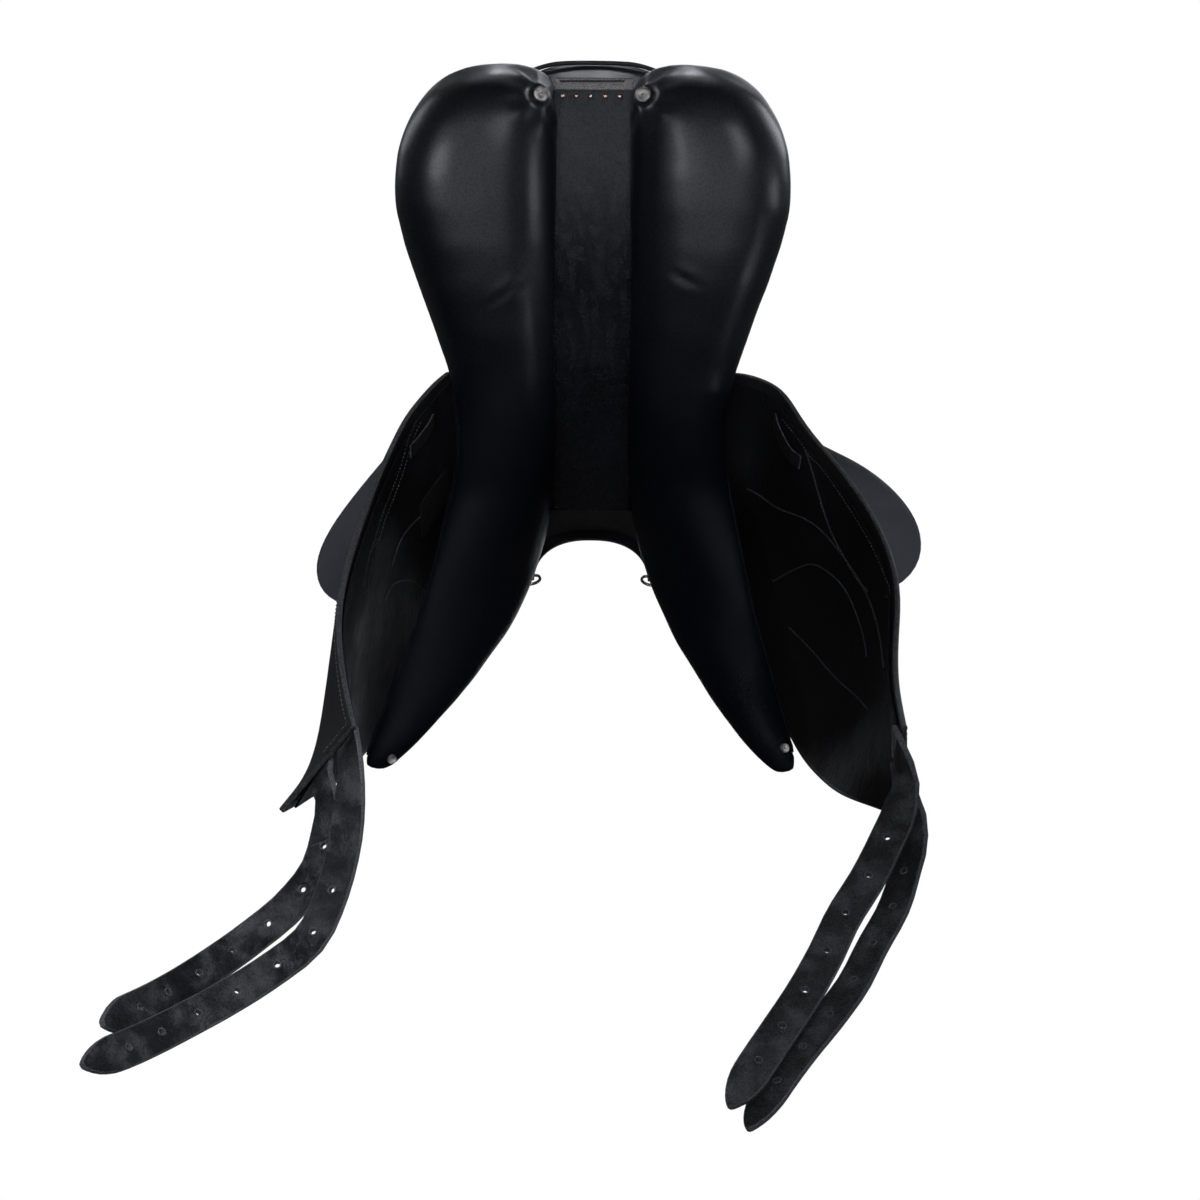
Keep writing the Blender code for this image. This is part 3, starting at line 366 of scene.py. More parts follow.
# %% Edge, thread and other finishes
PAINTED_EDGE = fibre_edge("painted_edge", (0.02, 0.02, 0.021), (0.075, 0.074, 0.072), 0.5, 700, 0.0002)
# Keeper edges are cut fibre with a painted highlight: they are lighter than the other painted edges, so that
# they look lit.
KEEPER_EDGE_PAINTED_HIGHLIGHT = fibre_edge("keeper_edge_painted_highlight", (0.05, 0.05, 0.052), (0.15, 0.15, 0.155), 0.5, 700, 0.0002)
STRAP_EDGE = fibre_edge("strap_edge", (0.045, 0.046, 0.048), (0.17, 0.172, 0.178), 0.85, 1300, 0.0005)
HOOK_PILE = fibre_edge("hook_pile", (0.003, 0.003, 0.0033), (0.011, 0.011, 0.0115), 0.8, 520, 0.0012)
SEAM_BEAD = fibre_edge("seam_bead", (0.018, 0.018, 0.02), (0.055, 0.055, 0.06), 0.7, 1800, 0.0001)
THREAD = fibre_edge("waxed_thread", (0.04, 0.04, 0.039), (0.12, 0.12, 0.116), 0.45, 2600, 0.0001)
COPPER = metal("copper_head", (0.8, 0.6, 0.5), (0.5, 0.36, 0.28), (0.24, 0.4))
NICKEL = metal("aged_nickel", (0.62, 0.59, 0.55), (0.24, 0.225, 0.21), (0.5, 0.68), 1400)
STEEL = metal("bar_steel", (0.56, 0.56, 0.57), (0.4, 0.4, 0.41), (0.26, 0.42), 500, (1, 0.05, 1))
HIDE_REST = (0.006, 0.006, 0.007)
PALE_BOARD = (0.62, 0.575, 0.54)
# Ply colours darkened as painted shade: the tree shows only in gaps between the strip and the panels, where
# shade falls.
DARK_PLY_PAINTED_SHADE = (0.012, 0.009, 0.006)
LIGHT_PLY_PAINTED_SHADE = (0.045, 0.03, 0.018)


def bare_facing():
    """The facing under the cantle: covered in hide above, and rubbed to the pale board below."""
    look, inputs, wire = new_finish("bare_facing_board", (0.1, 0.1, 0.1), 0.8, specular=0.25)
    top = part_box("cantle_facing")[1].z
    cut = placed_group(wire, FIBRES, {"Fibres per metre": 900.0})
    ragged = wire.math("MULTIPLY", wire.noise(wire.places((1.0, 1.0, 4.0)), 260.0, 6.0, 0.7), 0.004)
    bare = wire.ranged(wire.math("ADD", wire.along("Z"), ragged), top + 0.001, top - 0.0015)
    torn = wire.math("MULTIPLY", bare, wire.ranged(cut.outputs["Lint"], 0.0, 1.0, 0.35, 1.0))
    wire.join(wire.mixed(torn, HIDE_REST, PALE_BOARD), inputs["Base Color"])
    bumped(wire, inputs, cut.outputs["Height"], 0.0005)
    return look


def laminate():
    """Beech plies darkened as painted shade, so that the tree reads dark where it shows between the strip and
    the panels: bands across the tree's thickness, with a fine grain along it.
    """
    look, inputs, wire = new_finish("tree_laminate", (0.03, 0.02, 0.012), 0.5, specular=0.4)
    plies = wire.noise(wire.places((1.0, 0.12, 6.0)), 60.0, 6.0, 0.6)
    wire.join(wire.mixed(wire.ranged(plies, 0.35, 0.65), DARK_PLY_PAINTED_SHADE, LIGHT_PLY_PAINTED_SHADE), inputs["Base Color"])
    bumped(wire, inputs, plies, 0.0003)
    return look


BARE_EDGE = bare_facing()
TREE_LAMINATE_PAINTED_SHADE = laminate()
print("finishes in all:", len(bpy.data.materials))

# %% [markdown]
# ## From a CAD solid to a skin
# Each soft solid is copied, its loose triangles are merged into quads, and bevels and
# subdivision round it. The copy keeps the place and size that the frame gives. Narrow faces
# that stand square to the broad ones are the cut edges, and take the edge finish.

# %% Copying a solid
WELD = 0.00002
SQUARE_DOT = 0.8


def merged(node):
    """A copy of a CAD node's skin, with its triangles joined into quads."""
    shape = bmesh.new()
    shape.from_mesh(nodes[node].data)
    for face in shape.faces:
        face.material_index = 0
    bmesh.ops.remove_doubles(shape, verts=shape.verts, dist=WELD)
    limits = {"angle_face_threshold": math.radians(22), "angle_shape_threshold": math.radians(75)}
    bmesh.ops.join_triangles(shape, faces=shape.faces, **limits)
    shape.normal_update()
    return shape


def nearest_of(faces):
    """A function that gives the face, out of these, whose middle is nearest to a point."""
    tree = KDTree(len(faces))
    for i, face in enumerate(faces):
        tree.insert(face.calc_center_median(), i)
    tree.balance()
    return lambda point: faces[tree.find(point)[1]]


def mark_edges(shape, broad_width):
    """Gives the narrow faces that stand square to the nearest broad face the second material."""
    broad = [f for f in shape.faces if f.calc_area() / max(e.calc_length() for e in f.edges) > broad_width]
    nearest = nearest_of(broad)
    for face in set(shape.faces) - set(broad):
        beside = nearest(face.calc_center_median())
        face.material_index = int(abs(face.normal.dot(beside.normal)) < SQUARE_DOT)


def patch_from(start, may_cross):
    """The faces that join a first one across edges where may_cross allows it."""
    patch = {start}
    edge = [start]
    while edge:
        for link in edge.pop().edges:
            for face in link.link_faces:
                if face not in patch and may_cross(link, face):
                    patch.add(face)
                    edge.append(face)
    return patch


def piece(name, shape, *looks):
    mesh = bpy.data.meshes.new(name)
    shape.to_mesh(mesh)
    shape.free()
    for look in looks:
        mesh.materials.append(look)
    return linked(name, mesh)


def rounded(made, width, segments=2, angle=32):
    bevel = made.modifiers.new("rounding", "BEVEL")
    bevel.width = width
    bevel.segments = segments
    bevel.limit_method = "ANGLE"
    bevel.angle_limit = math.radians(angle)
    bevel.use_clamp_overlap = True


def subdivided(made, levels):
    finer = made.modifiers.new("subdivision", "SUBSURF")
    finer.levels = levels
    finer.render_levels = levels


def smoothed(made, times):
    even = made.modifiers.new("even", "SMOOTH")
    even.factor = 0.5
    even.iterations = times


def evaluated(made):
    """The mesh that an object's modifiers or curve settings make."""
    graph = bpy.context.evaluated_depsgraph_get()
    return bpy.data.meshes.new_from_object(made.evaluated_get(graph), depsgraph=graph)


def finished(made, sharp=180):
    """Turns the piece and its modifiers into one plain mesh, smooth but for sharp edges."""
    final = evaluated(made)
    made.modifiers.clear()
    made.data = final
    final.shade_smooth()
    if sharp < 180:
        final.set_sharp_from_angle(angle=math.radians(sharp))
    return made


def dressed(made, *stood_for):
    """The piece rides on the body of its CAD nodes and stands for them."""
    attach(made, body_of[stood_for[0]])
    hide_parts(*stood_for)
    return made


def surface_of(made):
    return BVHTree.FromObject(made, bpy.context.evaluated_depsgraph_get())


# %% [markdown]
# ## Threads and beads
# A seam is a row of short threads along a line on the leather. Geometry Nodes resample the
# line at the stitch length and lay a small capsule at each point, flat on the surface. Strap
# holes get their rims from a like tree. A bead is a thin raised line.

# %% Geometry trees
LAYOUT_KINDS = {
    "start": "NodeGroupInput", "end": "NodeGroupOutput", "facing": "InputNamedAttribute",
    "laid": "InstanceOnPoints", "real": "RealizeInstances",
    "smooth": "SetShadeSmooth", "paint": "SetMaterial",
}
LAYOUT_LINKS = (
    "turn.Rotation > laid.Rotation", "laid.Instances > real.Geometry",
    "real.Geometry > smooth.Geometry", "smooth.Geometry > paint.Geometry",
    "start.Finish > paint.Material",
)


def layout_tree(name, takes, sizes, gives, kinds, settings, values, links):
    """A tree that lays a shape at points, each turned the way its point faces, and the names of
    its inputs. A link is written as node.socket > node.socket."""
    tree = bpy.data.node_groups.new(name, "GeometryNodeTree")
    names = {}
    for label, kind in {takes: "Geometry", **dict.fromkeys(sizes, "Float"), "Finish": "Material"}.items():
        socket = tree.interface.new_socket(label, in_out="INPUT", socket_type=f"NodeSocket{kind}")
        names[label] = socket.identifier
    tree.interface.new_socket(gives, in_out="OUTPUT", socket_type="NodeSocketGeometry")
    made = {}
    for word, kind in {**LAYOUT_KINDS, **kinds}.items():
        made[word] = tree.nodes.new(kind if "Node" in kind else "GeometryNode" + kind)
    for word, choices in {"facing": {"data_type": "FLOAT_VECTOR"}, **settings}.items():
        for label, choice in choices.items():
            setattr(made[word], label, choice)
    for word, numbers in {"facing": {"Name": "facing"}, **values}.items():
        for label, number in numbers.items():
            made[word].inputs[label].default_value = number
    for link in (*links, *LAYOUT_LINKS, f"paint.Geometry > end.{gives}"):
        (source, out), (target, into) = (end.split(".") for end in link.split(" > "))
        tree.links.new(made[source].outputs[out], made[target].inputs[into])
    return tree, names


THREAD_ROW = layout_tree(
    "row_of_threads", "Line", ("Pitch", "Thread length", "Thread radius"), "Threads",
    {
        "curve": "MeshToCurve", "spaced": "ResampleCurve",
        "capsule": "MeshUVSphere", "along": "InputTangent",
        "turn": "FunctionNodeAxesToRotation", "half": "ShaderNodeMath", "size": "ShaderNodeCombineXYZ",
    },
    {
        "spaced": {"mode": "LENGTH"},
        "turn": {"primary_axis": "X", "secondary_axis": "Z"},
        "half": {"operation": "MULTIPLY"},
    },
    {"capsule": {"Segments": 8, "Rings": 5, "Radius": 1.0}, "half": {1: 0.5}},
    (
        "start.Line > curve.Mesh", "curve.Curve > spaced.Curve", "start.Pitch > spaced.Length",
        "spaced.Curve > laid.Points", "capsule.Mesh > laid.Instance",
        "along.Tangent > turn.Primary Axis", "facing.Attribute > turn.Secondary Axis",
        "start.Thread length > half.Value", "half.Value > size.X", "start.Thread radius > size.Y",
        "start.Thread radius > size.Z", "size.Vector > laid.Scale",
    ),
)
HOLE_RIMS = layout_tree(
    "rings_at_holes", "Holes", ("Ring radius", "Wire radius"), "Rings",
    {
        "ring": "CurvePrimitiveCircle", "wire": "CurvePrimitiveCircle",
        "swept": "CurveToMesh", "turn": "FunctionNodeAlignRotationToVector",
    },
    {"turn": {"axis": "Z"}},
    {"ring": {"Resolution": 18}, "wire": {"Resolution": 6}},
    (
        "start.Ring radius > ring.Radius", "start.Wire radius > wire.Radius",
        "ring.Curve > swept.Curve", "wire.Curve > swept.Profile Curve", "start.Holes > laid.Points",
        "swept.Mesh > laid.Instance", "facing.Attribute > turn.Vector",
    ),
)
print("inputs of the trees:", sorted(THREAD_ROW[1]), sorted(HOLE_RIMS[1]))

# %% Lines on a surface
CURVE_STEPS = 12


def between(a, b, c, d, t):
    """The point at share t of the way from b to c, on a smooth curve through all four."""
    bent = (2 * a - 5 * b + 4 * c - d) * t**2
    return 0.5 * (2 * b + (c - a) * t + bent + (3 * b - a - 3 * c + d) * t**3)


def even_line(points, step, closed=False):
    """Points at even steps on a smooth curve through the given ones."""
    points = [Vector(p) for p in points]
    if closed:
        points = [points[-1], *points, points[0], points[1]]
    else:
        points = [points[0] * 2 - points[1], *points, points[-1] * 2 - points[-2]]
    dense = []
    for four in zip(points, points[1:], points[2:], points[3:]):
        dense += [between(*four, k / CURVE_STEPS) for k in range(CURVE_STEPS)]
    dense.append(points[-2])
    far = np.concatenate([[0], np.cumsum([(q - p).length for p, q in zip(dense, dense[1:])])])
    count = max(2, int(far[-1] / step))
    grid = np.array(dense)
    stops = np.linspace(0, far[-1], count + 1)
    return [Vector([np.interp(stop, far, grid[:, c]) for c in range(3)]) for stop in stops]


def settled(surface, points, lift=0.0):
    """The points moved onto a surface, and the surface's outward direction at each."""
    spots = []
    facings = []
    for point in points:
        spot, normal, _, _ = surface.find_nearest(point)
        spots.append(spot + normal * lift)
        facings.append(normal)
    return spots, facings


def seen_on(surface, marks):
    """Where the camera's sight lines through points of the picture meet a surface."""
    found = [surface.ray_cast(CAMERA_AT, sight_line(x, y))[0] for x, y in marks]
    return [spot for spot in found if spot is not None]


def drawn_on(made, marks, step, lift=0.0):
    """An even line on a piece, along the points of the picture that the camera sees on it."""
    surface = surface_of(made)
    found = seen_on(surface, marks)
    print(made.name, "marks met:", len(found), "of", len(marks))
    return settled(surface, even_line(found, step), lift)


# %% Rows of threads and beads
def laid_out(name, spots, edges, facings, body, layout, values):
    """What a layout tree makes at these points, as one plain mesh."""
    mesh = bpy.data.meshes.new(name)
    mesh.from_pydata(spots, edges, [])
    kept = mesh.attributes.new("facing", "FLOAT_VECTOR", "POINT")
    kept.data.foreach_set("vector", [c for facing in facings for c in facing])
    made = linked(name, mesh)
    modifier = made.modifiers.new("layout", "NODES")
    tree, names = layout
    modifier.node_group = tree
    for label, value in values.items():
        modifier[names[label]] = value
    finished(made)
    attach(made, body)


def threads(name, spots, facings, body="saddle", pitch=0.0042, length=0.003, radius=0.00045):
    values = {"Pitch": pitch, "Thread length": length, "Thread radius": radius, "Finish": THREAD}
    edges = [(i, i + 1) for i in range(len(spots) - 1)]
    laid_out(name, spots, edges, facings, body, THREAD_ROW, values)


def bead(name, spots, radius, look):
    """A thin round line, half sunk in what carries it."""
    data = bpy.data.curves.new(name, "CURVE")
    data.dimensions = "3D"
    data.bevel_depth = radius
    data.bevel_resolution = 2
    data.use_fill_caps = True
    spline = data.splines.new("POLY")
    spline.points.add(len(spots) - 1)
    for point, spot in zip(spline.points, spots):
        point.co = (*spot, 1)
    source = linked(name + "_line", data)
    mesh = evaluated(source)
    bpy.data.objects.remove(source)
    mesh.name = name
    mesh.materials.clear()
    mesh.materials.append(look)
    mesh.shade_smooth()
    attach(linked(name, mesh), "saddle")


RIM_GAP = 0.03


def rim_lines(shape, toward):
    """The borders of the broad faces that look along a direction: points in order, each with the
    direction into the face."""
    after = {}
    for edge in shape.edges:
        broad = [f for f in edge.link_faces if f.material_index == 0]
        if len(edge.link_faces) == 2 and len(broad) == 1 and broad[0].normal.dot(toward) > 0.1:
            loop = next(l for l in broad[0].loops if l.edge == edge)
            after[loop.vert] = (loop.link_loop_next.vert, broad[0].normal.copy())
    lines = []
    while after:
        start = next(iter(after))
        line = []
        while start in after:
            following, normal = after.pop(start)
            inward = normal.cross(following.co - start.co).normalized()
            line.append((start.co.copy(), inward))
            start = following
        if len(line) > 3:
            lines.append(line)
    return lines


def inset_line(line, inset, step=0.004):
    """A line beside a border, closed where the border is."""
    closed = (line[-1][0] - line[0][0]).length < RIM_GAP
    points = []
    for i, (point, inward) in enumerate(line):
        before = line[i - 1][1] if i or closed else inward
        points.append(point + (inward + before).normalized() * inset)
    return even_line(points, step, closed)


print("seam tools ready")

# %% [markdown]
# ## Panels
# Each panel is a stuffed leather bag, in the CAD a thin shell with a mouth for the wool. Its
# outer faces are kept and closed, a voxel remesh turns them into one even skin, smoothing
# takes out the flats, and the skin is pushed out by what the smoothing took.

# %% Panel skin
PANEL_VOXEL = 0.0027
PANEL_SMOOTHING = 44
PANEL_SWELL = 0.0014
MOUTH_CORNER = math.radians(52)


def within_skin(link, face):
    return len(link.link_faces) == 2 and link.calc_face_angle() < MOUTH_CORNER


def filled_panel(word):
    """The panel's outer faces, from the rearmost one on, closed over the mouth and evened out."""
    shape = bmesh.new()
    shape.from_mesh(nodes[f"panel_{word}"].data)
    bmesh.ops.remove_doubles(shape, verts=shape.verts, dist=WELD)
    shape.normal_update()
    kept = patch_from(min(shape.faces, key=lambda face: face.calc_center_median().y), within_skin)
    dropped = [face for face in shape.faces if face not in kept]
    print("panel faces kept and dropped:", len(kept), len(dropped))
    bmesh.ops.delete(shape, geom=dropped, context="FACES")
    bmesh.ops.holes_fill(shape, edges=shape.edges, sides=0)
    skin = piece(f"panel_skin_{word}", shape, PANEL_HIDE)
    remesh = skin.modifiers.new("one_skin", "REMESH")
    remesh.mode = "VOXEL"
    remesh.voxel_size = PANEL_VOXEL
    smoothed(skin, PANEL_SMOOTHING)
    swell = skin.modifiers.new("swell", "DISPLACE")
    swell.strength = PANEL_SWELL
    swell.mid_level = 0.0
    finished(skin)
    skin.data.materials.clear()
    skin.data.materials.append(PANEL_HIDE)
    return skin


# %% [markdown]
# The leather puckers where a button pulls it in, and a soft crease runs across each panel.
# Both are small moves of the skin's own points.

# %% Turned heads
HEAD_PROFILES = {
    # share of the radius and of the height, from the middle outwards
    "dished": (
        (0.0, 0.45), (0.1, 0.45), (0.16, 0.8), (0.5, 0.86),
        (0.84, 1.0), (0.96, 0.82), (1.0, 0.45), (0.95, 0.0),
    ),
    "domed": ((0.0, 1.0), (0.3, 0.96), (0.58, 0.82), (0.8, 0.58), (0.95, 0.28), (1.0, 0.0)),
}
HEAD_SIDES = 28


def head_frame(node, turned=0.0):
    """A head's middle, the way it looks, its base, its height and its radius. turned brings its face
    round to the rear and below, as the photograph shows it."""
    points = np.array([vertex.co for vertex in nodes[node].data.vertices])
    middle = points.mean(axis=0)
    way = Vector(np.linalg.svd(points - middle)[2][2])
    if way.dot(AWAY) > 0:
        way.negate()
    depths = (points - middle) @ np.array(way)
    radius = np.linalg.norm((points - middle) - np.outer(depths, np.array(way)), axis=1).max()
    way = way.lerp(-AWAY, turned).normalized()
    return Vector(middle), way, float(depths.min()), float(np.ptp(depths)), float(radius)


def turned_head(node, profile, look, turned=0.0):
    middle, way, base, height, radius = head_frame(node, turned)
    across = way.orthogonal().normalized()
    over = way.cross(across)
    shape = bmesh.new()
    rings = []
    for share, level in HEAD_PROFILES[profile]:
        at = middle + way * (base + level * height)
        count = HEAD_SIDES if share else 1
        turns = [math.tau * k / count for k in range(count)]
        reach = radius * share
        spots = [at + (across * math.cos(t) + over * math.sin(t)) * reach for t in turns]
        rings.append([shape.verts.new(spot) for spot in spots])
    for inner, outer in zip(rings, rings[1:]):
        for k in range(HEAD_SIDES):
            after = (k + 1) % HEAD_SIDES
            if len(inner) == 1:
                shape.faces.new((inner[0], outer[k], outer[after]))
            else:
                shape.faces.new((inner[k], outer[k], outer[after], inner[after]))
    shape.faces.new(rings[-1][::-1])
    return finished(piece(f"{node}_metal", shape, look), 50)


# %% Dimples and creases
CREASE_MARKS = {"left": ((486, 307), (530, 274)), "right": ((668, 270), (702, 288))}
CREASE_END = 0.01
BUTTON_TURNED = 0.72
STUD_TURNED = 0.6
BUTTON_REACH = 0.034
BUTTON_SEAT = 0.0085
STUD_SEAT = 0.0048
SEAT_DEPTH = 0.013
HEAD_LIFT = 0.0003
PLEATS = 8
PLEAT_DEPTH = 0.0008
SLACK = {22: 0.0006, 55: 0.00018}  # bumps per metre and their height


def seated(vertex, normal, frame_of_head, flat_radius, slope):
    """How far a point of the skin moves so that a head lies flat on it."""
    middle, way, base, _, _ = frame_of_head
    away = vertex - middle
    height = away.dot(way)
    flat = (away - way * height).length
    if flat > BUTTON_REACH or abs(height) > BUTTON_REACH or normal.dot(way) < -0.2:
        return Vector()
    above = height - (base + HEAD_LIFT + max(0.0, flat - flat_radius) * slope)
    if above > 0:
        return way * -above
    if above < -SEAT_DEPTH:
        return Vector()
    return way * -above * min(1.0, max(0.0, 1 - (flat - flat_radius * 0.8) / (flat_radius * 0.7)))


def pleat(away, way, across, over):
    """How far the pleats round a button push a point out."""
    flat = away - way * away.dot(way)
    if not (BUTTON_SEAT < flat.length < BUTTON_REACH and abs(away.dot(way)) < BUTTON_REACH):
        return 0.0
    share = (flat.length - BUTTON_SEAT) / (BUTTON_REACH - BUTTON_SEAT)
    angle = math.atan2(flat.dot(over), flat.dot(across))
    return PLEAT_DEPTH * math.sin(PLEATS * angle + 0.6) * share * (1 - share) * 4


def crease(away, way, length):
    """How far a crease moves a point: a groove, with a low ridge beside it."""
    along = away.dot(way)
    if not -CREASE_END < along < length + CREASE_END:
        return 0.0
    off = (away - way * along).length
    ridge = 0.0006 * math.exp(-(((off - 0.006) / 0.004) ** 2))
    groove = 0.0009 * math.exp(-((off / 0.003) ** 2))
    return max(0, 1 - abs(along / length - 0.5) * 1.7) * (ridge - groove)


def pucker(skin, word):
    """Seats the button and the stud, with pleats round the button, and creases and slackens the hide."""
    button = head_frame(f"rear_button_{word}", BUTTON_TURNED)
    stud = head_frame(f"front_stud_{word}", STUD_TURNED)
    middle, way = button[:2]
    across = way.orthogonal().normalized()
    over = way.cross(across)
    start, end = seen_on(surface_of(skin), CREASE_MARKS[word])
    length = (end - start).length
    moves = []
    for vertex in skin.data.vertices:
        normal = vertex.normal
        move = seated(vertex.co, normal, button, BUTTON_SEAT, 1.5)
        move += seated(vertex.co, normal, stud, STUD_SEAT, 1.6)
        push = pleat(vertex.co - middle, way, across, over)
        push += crease(vertex.co - start, (end - start).normalized(), length)
        slack = sum(noise.noise(vertex.co * bumps) * height for bumps, height in SLACK.items())
        moves.append(move + normal * (push + slack))
    for vertex, move in zip(skin.data.vertices, moves):
        vertex.co += move
    skin.data.update()


panel_skins = {}
for word in SIDES:
    skin = filled_panel(word)
    pucker(skin, word)
    smoothed(skin, 5)
    finished(skin)
    dressed(skin, f"panel_{word}", f"panel_flocking_{word}")
    panel_skins[word] = skin
    print(skin.name, len(skin.data.polygons), "faces")

# %% [markdown]
# A narrow welt closes the outer edge of each leg, between the panel and the sweat flap. Its
# line is picked along the leg's edge as the camera sees it.

# %% Leg welts
LEG_EDGE = {
    "left": ((458, 425), (448, 493), (429, 582), (410, 634), (393, 673), (380, 709), (371, 755)),
    "right": ((737, 431), (747, 487), (766, 560), (784, 645), (794, 709), (799, 752)),
}
SEARCHED = range(-8, 22)


def edge_seen(surface, x, y, way):
    """The surface's outline near a point of the picture, looked for along the row towards the middle."""
    found = seen_on(surface, [(x + way * step, y) for step in SEARCHED])
    return found[:1]


for word, marks in LEG_EDGE.items():
    surface = surface_of(panel_skins[word])
    found = [spot for x, y in marks for spot in edge_seen(surface, x, y, -SIDES[word])]
    line, _ = settled(surface, even_line(found, 0.005), 0.0002)
    bead(f"leg_welt_{word}", line, 0.0013, PANEL_HIDE)
    print("leg welt", word, "from", len(found), "of", len(marks), "marks")

# %% [markdown]
# ## Gullet strip
# The strip down the channel is nailed at the cantle. Its wrinkles are moved in the mesh,
# strongest near the nails.

# %% Gullet strip
STRIP_TUCK = 0.0034
STRIP_WRINKLED = 0.17

shape = merged("gullet_strip")
mark_edges(shape, 0.004)
strip = piece("gullet_strip_hide", shape, STRIP_HIDE, PAINTED_EDGE)
rounded(strip, 0.0006)
subdivided(strip, 3)
finished(strip)
low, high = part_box("gullet_strip")
for vertex in strip.data.vertices:
    vertex.co.x += math.copysign(STRIP_TUCK, vertex.co.x) * min(1, abs(vertex.co.x) / high.x)
    back = vertex.co.y - low.y
    rear = max(0.0, 1 - back / STRIP_WRINKLED) * min(1, max(0, back - 0.012) / 0.03)
    ripples = noise.noise(Vector((vertex.co.x * 55, vertex.co.y * 150, 0)))
    broad = noise.noise(Vector((vertex.co.x * 22, vertex.co.y * 45, 3)))
    vertex.co.z += (ripples * 0.0006 + broad * 0.0009) * rear
dressed(strip, "gullet_strip")
print(strip.name, len(strip.data.polygons), "faces")

# %% [markdown]
# ## Leather cut from sheet
# Flaps, linings, skirts, keepers and the arch are cut from flat hide, and one function makes
# them all. A skirt's upper side has the seat's hide.

# %% Sheet pieces
SHEETS = {
    # node, or the start of a left and a right one: face, edge, least width of a broad face, corner, levels
    "flap_": (FLAP_HIDE, PAINTED_EDGE, 0.0062, 0.0013, 2),
    "flap_lining_": (LINING_HIDE, LINING_HIDE, 0.004, 0.0006, 2),
    "skirt_": (SKIRT_HIDE, PAINTED_EDGE, 0.0055, 0.001, 2),
    "strap_keeper_": (FLAP_HIDE, KEEPER_EDGE_PAINTED_HIGHLIGHT, 0.0019, 0.0003, 2),
    "arch_lining": (ARCH_HIDE, ARCH_HIDE, 0.003, 0.0006, 2),
    "pommel_cap": (SEAT_HIDE, SEAT_HIDE, 0.003, 0.0009, 2),
    "pommel_facing": (SEAT_HIDE, PAINTED_EDGE, 0.003, 0.0006, 1),
    "cantle_facing": (BARE_EDGE, BARE_EDGE, 0.004, 0.0004, 1),
    "hook_patch": (HOOK_PILE, HOOK_PILE, 0.003, 0.0006, 2),
    "dee_staple_": (SEAT_HIDE, SEAT_HIDE, 0.002, 0.0005, 1),
}
SEAMED = {"flap_left": (-1, 0, 0), "flap_right": (1, 0, 0), "skirt_left": (0, 0, 1), "skirt_right": (0, 0, 1)}
SHEET_CORNER = 32
SKIRT_CORNER = 70
sheets = {}
borders = {}


def sheet(node, face_look, edge_look, broad_width, corner, levels):
    shape = merged(node)
    mark_edges(shape, broad_width)
    if node in SEAMED:
        borders[node] = rim_lines(shape, Vector(SEAMED[node]))
    is_skirt = node.startswith("skirt")
    for face in shape.faces:
        if is_skirt and face.material_index == 0 and face.normal.z > 0:
            face.material_index = 2
    made = piece(f"{node}_hide", shape, face_look, edge_look, SEAT_HIDE)
    rounded(made, corner, angle=SKIRT_CORNER if is_skirt else SHEET_CORNER)
    subdivided(made, levels)
    finished(made, 60 if levels < 2 else 180)
    sheets[node] = dressed(made, node)


for start, choices in SHEETS.items():
    for node in [start + word for word in SIDES] if start.endswith("_") else [start]:
        sheet(node, *choices)
print("sheet pieces:", len(sheets), "faces:", sum(len(s.data.polygons) for s in sheets.values()))

# %% [markdown]
# ## Seat
# The seat is a cover drawn over foam and webbing on the tree. Its solid is only rounded and
# smoothed. The welt round the cantle is a round cord in hide.

# %% Seat cover and welt
shape = merged("seat_leather")
mark_edges(shape, 0.0005)
seat = piece("seat_cover", shape, SEAT_HIDE, SEAT_HIDE)
rounded(seat, 0.0008, angle=50)
subdivided(seat, 2)
dressed(finished(seat), "seat_leather", "seat_foam", "seat_webbing")

welt = piece("cantle_welt_hide", merged("cantle_welt"), SEAT_HIDE)
subdivided(welt, 2)
dressed(finished(welt), "cantle_welt")
print("seat", len(seat.data.polygons), "faces, welt", len(welt.data.polygons), "faces")

# %% [markdown]
# ## Knee pads
# Each flap carries a padded block on its outside, ahead of the rider's knee. It is firm foam
# in hide, so it is a crowned form with soft corners.

# %% Knee pads
for word in SIDES:
    pad = piece(f"knee_pad_cover_{word}", merged(f"knee_pad_{word}"), SEAT_HIDE)
    rounded(pad, 0.004, 3, 40)
    subdivided(pad, 2)
    smoothed(pad, 12)
    dressed(finished(pad), f"knee_pad_{word}")
    print(pad.name, len(pad.data.polygons), "faces")

# %% [markdown]
# ## Girth straps
# Four long straps of thick hide hang from the flaps, punched with a row of holes. Their faces
# are smooth and dark, with pale patches that are wear and also painted sheen, their cut edges
# pale and fibrous, and each hole has a worn pale rim.

# %% Pointed tips
TIP_LENGTH = 0.033
TIP_BLUNT = 0.1
TIP_CUTS = (0.0015, 0.004, 0.008, 0.013, 0.019, 0.026, TIP_LENGTH)
ON_A_CUT = 0.0002


